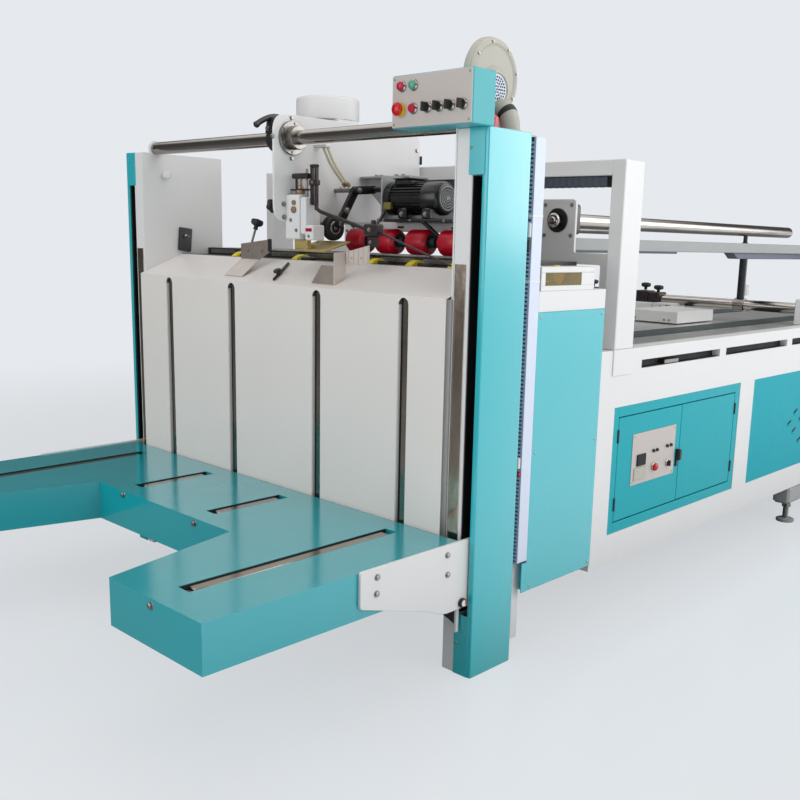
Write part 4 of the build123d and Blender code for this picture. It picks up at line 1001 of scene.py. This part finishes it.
red_urethane = moulded("red_urethane", (190, 16, 46), (160, 10, 36), 0.32)
barrel = [(0, 0.034), (0.001, 0.037), (0.014, 0.049), (0.018, 0.050), (0.097, 0.050),
          (0.101, 0.049), (0.114, 0.037), (0.115, 0.034)]
spacer = [(0, 0.034), (0.003, 0.034), (0.003, 0.020), (0.0285, 0.020), (0.030, 0.018)]
starts = ROLLER_FIRST + ROLLER_PITCH * np.arange(4)
fit("red_press_rollers", [
    (red_urethane, *[turned((x, ROLLER_Y, ROLLER_Z), X, barrel, 44) for x in starts]),
    (black_rubber, *[turned((x + 0.1145, ROLLER_Y, ROLLER_Z), X, spacer, 28) for x in starts]),
    (grey_steel, turned((0.063, ROLLER_Y, ROLLER_Z), X, [(0, 0.0075), (0.0015, 0.009),
                                                         (0.7185, 0.009), (0.72, 0.0075)], 20)),
], ["press_rollers"], "press_roller_shaft")

# Lifting table. A welded box of steel sheet in glossy teal: a back beam with an arm out on each
# side. Four slots in its top hold polished bars; hexagon bolts hold the sheet to the frame.

TABLE_SLOTS = ((-0.83, -0.975), (-0.30, -0.465), (0.215, -0.465), (0.83, -0.975))
SLOT_BACK = -0.12

table_teal = powder_coat("table_teal", (24, 160, 170), (18, 152, 163), 0.18, wave=6e-5, coat=0.9)
dress(table_teal, "table_back", "table_arms")
SLOT_WIDE = 0.0299  # from a slot's middle to its side
# The dark liners along each slot's sides and floor are painted shade inside the slots.
bars, slot_shade_liners, stops = [], [], []
for x, near in TABLE_SLOTS:
    bars.append(box(x - 0.020, x + 0.020, near + 0.03, SLOT_BACK - 0.03, 0.490, 0.509, 0.003))
    slot_shade_liners += [box(x + side * SLOT_WIDE - 0.0015, x + side * SLOT_WIDE + 0.0015, near + 0.001,
                   SLOT_BACK - 0.001, 0.4895, 0.512, 0.0004) for side in (-0.96, 0.96)]
    slot_shade_liners.append(box(x - SLOT_WIDE, x + SLOT_WIDE, near + 0.001, SLOT_BACK - 0.001, 0.4895,
                      0.491, 0.0004))
    stops.append(turned((x, near + 0.016, 0.490), Z, [(0, 0.010), (0.012, 0.010), (0.014, 0.008)],
                        20))
bolt_spots = [(0.826, -1.08, 0.490), (-0.826, -1.08, 0.490), (0.236, -0.55, 0.492),
              (-0.269, -0.55, 0.497)]
fit("table_bolts", [
    (zinc, *[hex_bolt(spot, -Y, 0.010) for spot in bolt_spots]),
    (black_paint, *stops),
    (painted_shade_and_black, *slot_shade_liners),
], (), "lift_table")
fit("table_slot_bars", [(mirror_sheet, *bars)], ["table_bars"], "lift_table")

# Table brackets. White steel plates bolted to the arms' outer sides; each ends in a carriage
# with a nylon guide roller that runs in the column's slot.

bracket = eased([(-0.51, 0.395), (-0.51, 0.517), (0.04, 0.517), (0.04, 0.268), (-0.12, 0.268),
                 (-0.19, 0.30)], [0.012, 0.012, 0.004, 0.004, 0.03, 0.03], 5)
BRACKET_BOLTS = ((-0.107, 0.482), (-0.104, 0.411), (-0.439, 0.486), (-0.441, 0.431))
ROLLER_SPOT = (1.092, -0.028, 0.290)
gusset = [(1.058, 0.272), (1.058, 0.196), (0.985, 0.222), (0.985, 0.244)]
fit("table_side_brackets", [
    (white_coat, both(
        plate(bracket, 1.08, 1.092, "x", 0.0015),
        box(1.058, 1.068, -0.024, -0.010, 0.168, 0.292, 0.001),
        box(1.067, 1.080, -0.024, -0.010, 0.270, 0.292, 0.001),
    )),
    (zinc, both(*[hex_bolt((1.092, y, z), X, 0.009) for y, z in BRACKET_BOLTS])),
    (blued, both(box(1.060, 1.080, 0.014, 0.19, 0.27, 0.5, 0.003),
                 box(1.080, 1.092, 0.04, 0.19, 0.27, 0.5, 0.002),
                 plate(gusset, -0.022, -0.014, "y", 0.001))),
    (black_rubber, both(turned(ROLLER_SPOT, X, [(0, 0.014), (0.002, 0.017), (0.010, 0.017),
                                                (0.013, 0.014)]))),
    (white_plastic, both(turned(ROLLER_SPOT, X, [(0.010, 0.0115), (0.0145, 0.011),
                                                 (0.0155, 0.008)]))),
    (red_plastic, both(box(1.1062, 1.1080, -0.024, -0.016, 0.284, 0.298, 0.0006))),
    (zinc, both(hex_bolt((1.02, -0.022, 0.232), -Y, 0.006))),
], ["table_brackets"], "lift_table")

# Side frames. White welded steel: a deep top rail with long windows, a bottom rail and posts,
# ground flush. Black sheets at the back and along the top and bottom of each window paint the
# shade inside the bed.

painted_bed_shade = powder_coat("painted_bed_shade", (24, 25, 28), (34, 35, 38), 0.7)
FRAME_OUT = 1.115
WINDOWS = tuple(1.048 + 0.766 * index for index in range(4))
dress(white_coat, "side_top_rails", "side_bottom_rails", "side_mullions")
# These black sheets are painted shade for the bed's dark inside.
window_shade_sheets = []
for near in WINDOWS:
    far = near + 0.702
    window_shade_sheets += [
        box(1.0752, 1.0765, near + 0.0005, far - 0.0005, 1.0365, 1.0705, 0.0003),
        box(1.0752, 1.108, near + 0.0003, far - 0.0003, 1.0702, 1.0708, 0.0002),
        box(1.0752, 1.108, near + 0.0003, far - 0.0003, 1.0362, 1.0368, 0.0002),
    ]
fit("window_shade_linings", [
    (painted_bed_shade, both(*window_shade_sheets)),
    (grey_steel, both(box(1.077, 1.106, 1.255, 1.375, 1.037, 1.056, 0.002))),
], ())

# Bay panels. Sheet steel coated teal, let into the frames' bays. One has louvres, pressed out in
# slanting rows; those of the left side are held by a black swing lock.

DOOR_FACE = 1.112
BAY_FOOT = 0.348
BAY_TOP = 0.888
BAY_LONG = 1.144
BAYS = tuple(0.861 + 1.299 * index for index in range(3))
bay_teal = powder_coat("bay_teal", (20, 160, 174), (14, 152, 166), 0.4, gloss=0.1)


def louvre(y, z, long=0.052, high=0.011, out=0.009):
    """A pressed louvre: along it the lip's reach is a half sine, across it a quarter sine."""
    along, across = np.meshgrid(np.linspace(0, 1, 13), np.linspace(0, 1, 6), indexing="ij")
    lip = out * np.sin(np.pi * along) ** 0.5 * np.sin(np.pi / 2 * across)
    lean = 0.35
    spots = np.stack([DOOR_FACE - 0.001 + lip, y + long * (along - 0.5),
                      z + high * (0.5 - across) + lean * long * (along - 0.5)], -1)
    back = spots * (0, 1, 1) + (DOOR_FACE - 0.002, 0, 0)
    rings = np.concatenate([spots, back[:, ::-1]], 1)
    return loft(rings)


def louvre_shade(y, z, long=0.046, lean=0.35):
    """A dark plate over a louvre's lip: painted shade in the louvre's mouth."""
    rise = lean * long / 2
    low = z + 0.010
    return plate([(y - long / 2, low - rise - 0.006), (y + long / 2, low + rise - 0.006),
                  (y + long / 2, low + rise + 0.006), (y - long / 2, low - rise + 0.006)],
                 DOOR_FACE - 0.001, DOOR_FACE + 0.0012, "x", 0.0003)


LOUVRES = ((2.655, 0.596), (2.727, 0.652), (2.726, 0.546), (2.811, 0.608), (2.811, 0.483),
           (2.895, 0.564), (2.895, 0.44), (2.98, 0.52))
lock = [box(DOOR_FACE, 1.137, -0.009, 0.009, 0.59, 0.64, 0.003),
        box(DOOR_FACE, 1.120, -0.009, 0.009, 0.56, 0.59, 0.002)]
panels = [box(1.106, DOOR_FACE, y, y + BAY_LONG, BAY_FOOT, BAY_TOP, 0.001) for y in BAYS]
locks = [shifted(shape, (near + BAY_LONG / 2) * Y) for near in BAYS for shape in lock]
fit("teal_bay_panels", [
    (bay_teal, *panels[1:], *[louvre(y, z) for y, z in LOUVRES]),
    # Dark plates paint the shade in the louvres' mouths.
    (painted_shade_and_black, *[louvre_shade(y, z) for y, z in LOUVRES]),
    (bay_teal, mirrored(*panels)),
    (black_paint, mirrored(*locks)),
], ["bay_panels"])

# Electrical doors. A teal surround with two leaves on lift-off hinges, the front one with a bare
# printed plate: display, stop button, rotary switch, rockers, and the black swing lock.

DOOR_Y0 = BAYS[0] + 0.044
DOOR_Y1 = BAYS[0] + 1.1
DOOR_Z0 = BAY_FOOT + 0.044
DOOR_Z1 = BAY_TOP - 0.044
DOOR_MID = (DOOR_Y0 + DOOR_Y1) / 2
door_teal = powder_coat("door_teal", (30, 162, 173), (24, 155, 166), 0.38, gloss=0.15)
surround = [box(1.106, DOOR_FACE, BAYS[0], DOOR_Y0, BAY_FOOT, BAY_TOP, 0.0008),
            box(1.106, DOOR_FACE, DOOR_Y1, BAYS[0] + BAY_LONG, BAY_FOOT, BAY_TOP, 0.0008),
            box(1.106, DOOR_FACE, DOOR_Y0, DOOR_Y1, BAY_FOOT, DOOR_Z0, 0.0008),
            box(1.106, DOOR_FACE, DOOR_Y0, DOOR_Y1, DOOR_Z1, BAY_TOP, 0.0008)]
hinge = [(0, 0.0045), (0.001, 0.0052), (0.026, 0.0052), (0.027, 0.0045), (0.028, 0.0045),
         (0.029, 0.0052), (0.054, 0.0052), (0.055, 0.0045)]
hinges = [turned((1.1135, y, z), Z, hinge, 16)
          for y in (DOOR_Y0 - 0.001, DOOR_Y1 + 0.001) for z in (0.445, 0.735)]
fit("door_frame_sheet", [
    (door_teal, *surround),
    (black_paint, *hinges),
], ["door_surround"])


def leaf(near, far):
    """A door leaf of sheet steel, from near to far along Y."""
    z0, z1 = DOOR_Z0 + 0.004, DOOR_Z1 - 0.004
    return box(1.106, DOOR_FACE, near, far, z0, z1, 0.002)


fit("front_leaf_sheet", [
    (door_teal, leaf(DOOR_Y0 + 0.004, DOOR_MID - 0.002)),
], ["front_door"], "front_leaf")
fit("rear_leaf_sheet", [
    (door_teal, leaf(DOOR_MID + 0.002, DOOR_Y1 - 0.004)),
], ["rear_door"], "rear_leaf")
PANEL_X = DOOR_FACE + 0.003
DOOR_LOCK_Y = 1.408
stop = np.vstack([[0.006, 0.009], [0.009, 0.0155],
                  np.stack([0.011 + 0.0105 * np.sin(dome), 0.017 * np.cos(dome) + 2e-4], 1)])
rocker_spots = ((1.195, 0.663), (1.225, 0.663), (1.312, 0.668), (1.345, 0.668))
fit("door_panel_controls", [
    (face_grey, box(DOOR_FACE, PANEL_X, 1.022, 1.385, 0.532, 0.756, 0.0008)),
    (zinc, *[pan_screw((PANEL_X, y, z), X, 0.004)
             for y in (1.034, 1.373) for z in (0.544, 0.744)]),
    (painted_shade_and_black, box(PANEL_X, PANEL_X + 0.006, 1.060, 1.130, 0.612, 0.662, 0.0015)),
    (beige_cast, box(PANEL_X, PANEL_X + 0.004, 1.042, 1.140, 0.548, 0.606, 0.002)),
    (chrome,
        turned((PANEL_X, 1.205, 0.59), X, [(0, 0.0175), (0.004, 0.0175), (0.006, 0.0155)], 28),
        turned((PANEL_X, 1.325, 0.588), X, [(0, 0.0165), (0.004, 0.0165), (0.006, 0.0145)], 28),
    ),
    (red_plastic, turned((PANEL_X, 1.205, 0.59), X, stop, 32)),
    (black_rubber,
        turned((PANEL_X, 1.325, 0.588), X, [(0.004, 0.013), (0.009, 0.013), (0.010, 0.012)], 24),
        box(PANEL_X + 0.009, PANEL_X + 0.018, 1.3205, 1.3295, 0.575, 0.601, 0.002),
        *[turned((PANEL_X, y, z), X, [(0, 0.0075), (0.008, 0.007), (0.009, 0.006)], 18)
          for y, z in rocker_spots],
    ),
    (black_paint, *[shifted(shape, DOOR_LOCK_Y * Y) for shape in lock]),
], ["door_controls"], "front_leaf")
dress(grey_coat, "cabinet_shell")
dress(white_coat, "cross_members")

# Feet. Pressed steel brackets under the bottom rails, painted grey; each holds a zinc plated
# spindle with a lock nut and a round pad.

FEET = (2.845, 4.6)
pads = []
for y in FEET:
    pads += [box(1.02, FRAME_OUT, y - 0.095, y + 0.095, 0.12, 0.22, 0.012),
             turned((1.067, y, 0.0), Z, [(0, 0.048), (0.003, 0.050), (0.014, 0.050),
                                         (0.020, 0.036)], 32)]
spindles = [turned((1.067, y, 0.018), Z, [(0, 0.016), (0.104, 0.016)], 20) for y in FEET]
nuts = [turned((1.067, y, 0.085), Z, [(0, 0.024), (0.001, 0.026), (0.018, 0.026),
                                      (0.020, 0.024)], 6) for y in FEET]
fit("levelling_feet", [
    (grey_coat, both(*pads)),
    (zinc, both(*spindles, *nuts)),
], ["feet"])

# Bed. A grey table between the frames with polished runway sheets; dark flat belts run between
# them as fixed loops, over rollers that show at the front end.

runway = metal("runway_sheet", 0.85, (212, 213, 210), (188, 190, 188),
               0.15, 0.22, 0.18, 0.01, (1, 14, 1))
belt_dark = moulded("belt_dark", (52, 62, 64), (44, 53, 55), 0.5, grain=0.004)
dress(grey_coat, "bed_table")
dress(runway, "bed_sheets")
dress(belt_dark, "bed_belts")

# Gantries. White box frames across the bed, welded to the side frames: a high one at the front
# and a low one at the rear, which holds the ends of the folding beams.

GANTRY_Y = 0.823
GANTRY_DEEP = 0.137
REAR_GANTRY = 4.430
GANTRY_TOP = 1.862
REAR_TOP = 1.562
posts, beams = [], []
for y, top, low in ((GANTRY_Y, GANTRY_TOP, GANTRY_TOP - 0.06), (REAR_GANTRY, REAR_TOP, 1.508)):
    posts += [box(1.059, OUTER, y, y + GANTRY_DEEP, 1.124, top, 0.003),
              box(1.115, OUTER, y, y + GANTRY_DEEP, 1.02, 1.13, 0.0015)]
    beams.append(box(-1.059, 1.059, y, y + GANTRY_DEEP, low, top, 0.003))
fit("gantry_uprights", [(white_coat, both(*posts))], ["gantry_posts"])
fit("gantry_crossbars", [(white_coat, *beams)], ["gantry_beams"])

# Cable carrier. A dark plastic link chain that lies under the front gantry's beam; each link has
# two side plates and a crossbar.

CARRIER_TOP = GANTRY_TOP - 0.06
LINK = 0.032
carrier_grey = moulded("carrier_grey", (66, 76, 88), (54, 63, 74), 0.45)
links, crossbars = [], []
side_plate = eased([(0, 0.004), (LINK + 0.004, 0.0), (LINK + 0.004, 0.040), (0, 0.036)], 0.004, 3)
for x in np.arange(-1.055, 1.055 - LINK, LINK):
    shape = side_plate + (x, CARRIER_TOP - 0.041)
    links += [plate(shape, y, y + 0.004, "y", 0.0008)
              for y in (GANTRY_Y + 0.0152, GANTRY_Y + 0.0755)]
    crossbars.append(box(x + 0.004, x + 0.020, GANTRY_Y + 0.019, GANTRY_Y + 0.076,
                         CARRIER_TOP - 0.0415, CARRIER_TOP - 0.037, 0.001))
fit("link_chain", [
    (carrier_grey, *links, *crossbars),
    (painted_shade_and_black, box(-1.055, 1.055, GANTRY_Y + 0.022, GANTRY_Y + 0.073, CARRIER_TOP - 0.036,
                   CARRIER_TOP - 0.002, 0.001)),
], ["cable_carrier"])

# Folding tubes and their supports. Chromed steel tubes run back from stepped white plates that stand
# across the bed; a black ring and clamp flange grip each tube in its plate.

TUBE_X = 0.65
TUBE_Z = 1.635
round_nose = np.linspace(0, np.pi / 2, 8)
nose = np.stack([0.022 * (1 - np.cos(round_nose)), 0.010 + 0.022 * np.sin(round_nose)], 1)
tube_profile = np.vstack([nose, (2.50, 0) - nose[::-1] * (1, -1)])
fit("chrome_folding_tubes", [
    (chrome, both(turned((TUBE_X, 1.0, TUBE_Z), Y, tube_profile, 48))),
], ["folding_tubes"])
step = eased([(0.555, 1.45), (0.555, 1.725), (0.742, 1.725), (0.742, 1.5), (0.93, 1.5),
              (0.93, 1.124), (0.88, 1.124), (0.88, 1.45)],
             [0.006, 0.02, 0.02, 0.008, 0.02, 0.001, 0.001, 0.008], 5)
flange = eased([(TUBE_X - 0.085, 1.575), (TUBE_X + 0.085, 1.575), (TUBE_X + 0.085, 1.705),
                (TUBE_X - 0.085, 1.705)], 0.02, 6)
fit("tube_supports", [
    (white_coat, both(plate(step, 1.05, 1.064, "y", 0.0015))),
    (black_gloss, both(
        turned((TUBE_X, 1.040, TUBE_Z), Y, [(0, 0.033), (0, 0.050), (0.002, 0.052), (0.010, 0.052)],
               40),
        plate(flange, 1.064, 1.100, "y", 0.002),
    )),
    (zinc, both(*[hex_bolt((TUBE_X + dx, 1.05, TUBE_Z + dz), -Y, 0.007)
                  for dx in (-0.07, 0.07) for dz in (-0.065, 0.065)])),
], ["support_plates"])

# Folding beams. Grey box beams hang under the tubes, cut slanting at the front, with a dark blue
# belt guard below their rear part. Studs and black posts hold them from the tubes and the shaft.

beam_grey = powder_coat("beam_grey", (158, 160, 159), (148, 150, 149), 0.38, gloss=0.2)
guard_blue = powder_coat("guard_blue", (56, 66, 96), (48, 58, 86), 0.35)
beam_side = [(1.070, 1.562), (1.064, 1.545), (1.064, 1.52), (1.090, 1.508), (4.43, 1.508),
             (4.43, 1.562)]
guard_side = [(2.7, 1.508), (2.76, 1.474), (4.43, 1.474), (4.43, 1.508)]
fit("grey_folding_beams", [
    (beam_grey, both(plate(beam_side, 0.59, 0.71, "x", 0.003))),
    (guard_blue, both(plate(guard_side, 0.62, 0.68, "x", 0.002))),
], ["folding_beams"])
SHAFT_LINE = (2.905, 1.21)
fit("beam_studs_and_posts", [
    (black_gloss, both(
        turned((TUBE_X, SHAFT_LINE[0], 1.235), Z, [(0, 0.022), (0.239, 0.022)], 28),
    )),
    (grey_steel, both(
        turned((TUBE_X - 0.032, *SHAFT_LINE), X, [(0, 0.036), (0.002, 0.038), (0.062, 0.038),
                                                  (0.064, 0.036)], 40),
    )),
    (blued, both(turned((TUBE_X, SHAFT_LINE[0], 1.562), Z, [
        (0, 0.016), (0.006, 0.016), (0.006, 0.012), (0.046, 0.012)], 24))),
    (white_plastic, both(turned((TUBE_X - 0.004, SHAFT_LINE[0] + 0.052, 1.262), Z, [
        (0, 0.026), (0.056, 0.026), (0.062, 0.020)], 28))),
], ["beam_posts"])

# Low shaft. A hard chromed steel shaft across the bed, held at each end in a white bearing
# block; the posts' collars and the carriages ride on it.

fit("chrome_low_shaft", [
    (chrome, turned((-1.04, *SHAFT_LINE), X, [(0, 0.028), (0.002, 0.030), (2.078, 0.030),
                                              (2.08, 0.028)], 40)),
], ["low_shaft"])

# Carriages. Two clamps ride on the low shaft, each with a foot, a small white box and two black
# star knobs; a white belt box lies on the bed ahead of them on either side.

CARRIAGES = (-0.04, -0.43)
BOX_TOP = 1.190
CLAMP_TOP = 1.258
feet, clamps, knobs, tags, foot_bolts = [], [], [], [], []
for left in CARRIAGES:
    feet += [box(left, left + 0.178, 2.79, 2.96, 1.126, BOX_TOP, 0.003),
             box(left + 0.182, left + 0.310, 2.785, 2.955, 1.126, BOX_TOP + 0.004, 0.003)]
    clamps += [box(left, left + 0.100, 2.855, 2.955, BOX_TOP, CLAMP_TOP, 0.004),
               box(left + 0.104, left + 0.180, 2.858, 2.952, BOX_TOP, CLAMP_TOP - 0.006, 0.004)]
    knobs += [star_knob((left + 0.058, 2.905, CLAMP_TOP + 0.004), Z, 0.028),
              star_knob((left + 0.148, 2.905, CLAMP_TOP - 0.008), Z, 0.028)]
    tags.append(box(left + 0.272, left + 0.300, 2.783, 2.786, 1.160, 1.184, 0.0006))
    foot_bolts.append(hex_bolt((left + 0.235, 2.785, 1.172), -Y, 0.006))
fit("carriages", [
    (white_coat,
        both(box(1.0, FRAME_OUT, 2.85, 2.96, 1.124, 1.265, 0.004),
             box(0.330, 0.620, 2.230, 2.640, 1.126, BOX_TOP, 0.003)),
        *feet),
    (blued, *clamps),
    (zinc,
        both(*[hex_bolt((x, 2.23, 1.142), -Y, 0.005) for x in (0.36, 0.54, 0.57)],
             *[hex_bolt((FRAME_OUT, y, 1.245), X, 0.006) for y in (2.87, 2.94)]),
        *foot_bolts),
    (crimson_lamp, *tags),
], ["shaft_blocks"])
fit("carriage_knobs", [(black_rubber, *knobs)], ["block_knobs"])

# Studio. A pale floor that runs out of sight, soft lamps to the right, ahead, overhead and behind,
# and the camera where the lens was: 1.54 m up, ahead of the right column.

BACKDROP = shade(229, 233, 237)
floor = Finish("studio_floor", {"Roughness": 0.22})
mesh = bpy.data.meshes.new("studio_floor")
mesh.from_pydata([(-60, -60, 0), (60, -60, 0), (60, 60, 0), (-60, 60, 0)], [], [(0, 1, 2, 3)])
mesh.materials.append(floor.material)
ground = bpy.data.objects.new("studio_floor", mesh)
bpy.context.scene.collection.objects.link(ground)
# The floor glows out to the backdrop's colour; in a reflection it is darker ahead of the
# machine and bright beside it, as in a lit room.
seen_straight = floor.node("ShaderNodeLightPath", out="Is Camera Ray")
spread = floor.node("ShaderNodeVectorMath", {"operation": "LENGTH"}, {0: floor.place}, "Value")
far_off = floor.ramp(spread, 3.0, 8.0)
glow = floor.node("ShaderNodeEmission", None, {
    "Color": BACKDROP, "Strength": 1.0 + 0.7 * (1 - seen_straight)})
beside = floor.ramp(floor.along(0), 1.0, 2.6)
floor.feed("Base Color", floor.tint((140, 142, 144), (216, 219, 222), seen_straight))
share = seen_straight * (0.72 + 0.28 * far_off) + (1 - seen_straight) * 0.9 * beside
blend = floor.node("ShaderNodeMixShader", None, {0: share, 2: glow})
floor.tree.links.new(floor.shader.outputs[0], blend.socket.node.inputs[1])
floor.tree.links.new(blend.socket, floor.tree.nodes["Material Output"].inputs["Surface"])

world = bpy.data.worlds.new("studio")
bpy.context.scene.world = world
world.use_nodes = True


class Sky(Finish):
    """The world's shader, with the same way of adding nodes as a finish."""

    def __init__(self, tree):
        self.tree = tree
        self.place = self.node("ShaderNodeTexCoord", out="Generated")


# Even light from all round. In reflections there are a bright band overhead and a bright wall to
# the right and behind; the lens and clear windows see the plain backdrop.
sky = Sky(world.node_tree)
soft = world.node_tree.nodes["Background"]
soft.inputs["Color"].default_value = (1, 1, 1, 1)
soft.inputs["Strength"].default_value = 0.46
height = sky.along(2)
strip = sky.ramp(height, 0.42, 0.62) * (1 - sky.ramp(height, 0.80, 0.93))
rear = sky.ramp(sky.along(0), 0.2, 0.44) * sky.ramp(sky.along(1), 0.1, 0.7)
panels = sky.node("ShaderNodeBackground", None, {"Color": (1, 1, 1, 1),
                                                 "Strength": 0.10 + 1.1 * strip + 3.2 * rear})
seen = sky.node("ShaderNodeBackground", None, {"Color": BACKDROP})
kinds = {kind: sky.node("ShaderNodeLightPath", out=kind)
         for kind in ("Is Camera Ray", "Is Glossy Ray", "Is Transmission Ray")}
lit = sky.node("ShaderNodeMixShader", None, {0: kinds["Is Glossy Ray"], 2: panels})
sky.tree.links.new(soft.outputs[0], lit.socket.node.inputs[1])
straight = sky.node("ShaderNodeMath", {"operation": "MAXIMUM"},
                    {0: kinds["Is Camera Ray"], 1: kinds["Is Transmission Ray"]})
whole = sky.node("ShaderNodeMixShader", None, {0: straight, 1: lit, 2: seen})
sky.tree.links.new(whole.socket, sky.tree.nodes["World Output"].inputs["Surface"])


def softbox(name, spot, aim, size, watts):
    """A lamp of that width and height at spot that faces aim."""
    lamp = bpy.data.lights.new(name, "AREA")
    lamp.shape = "RECTANGLE"
    lamp.size, lamp.size_y = size
    lamp.energy = watts
    holder = bpy.data.objects.new(name, lamp)
    bpy.context.scene.collection.objects.link(holder)
    away = np.subtract(spot, aim)
    holder.location = spot
    holder.rotation_mode = "QUATERNION"
    holder.rotation_quaternion = Vector(away).to_track_quat("Z", "Y")


softbox("key_light", (7.0, -1.0, 5.0), (0.8, 0.0, 0.8), (5.0, 5.0), 192)
softbox("front_light", (-1.0, -7.5, 2.6), (0.0, 0.0, 0.9), (5.0, 3.5), 150)
softbox("top_light", (0.5, 0.0, 6.5), (0.0, 0.3, 0.5), (6.0, 6.0), 115)
softbox("rear_light", (6.1, 4.5, 2.7), (1.1, -1.7, 1.5), (5.0, 2.2), 48)

CAMERA_SPOT = (3.1554, -4.2684, 1.544)
YAW, PITCH, ROLL = 0.7413, 0.1964, 0.0275
aim = np.array([-math.sin(YAW) * math.cos(PITCH), math.cos(YAW) * math.cos(PITCH),
                -math.sin(PITCH)])
level = np.array([math.cos(YAW), math.sin(YAW), 0])
upward = np.cross(level, aim)
right = level * math.cos(ROLL) + upward * math.sin(ROLL)
top = upward * math.cos(ROLL) - level * math.sin(ROLL)
lens = bpy.data.cameras.new("camera")
lens.sensor_width = 36
lens.lens = 42.86
lens.shift_x = -0.0459
lens.shift_y = 0.0347
lens.clip_end = 300
camera = bpy.data.objects.new("camera", lens)
bpy.context.scene.collection.objects.link(camera)
turned_to = np.eye(4)
turned_to[:3, 0], turned_to[:3, 1], turned_to[:3, 2] = right, top, -aim
turned_to[:3, 3] = CAMERA_SPOT
camera.matrix_world = Matrix(turned_to.tolist())
bpy.context.scene.camera = camera
bpy.context.scene.view_settings.view_transform = "Standard"
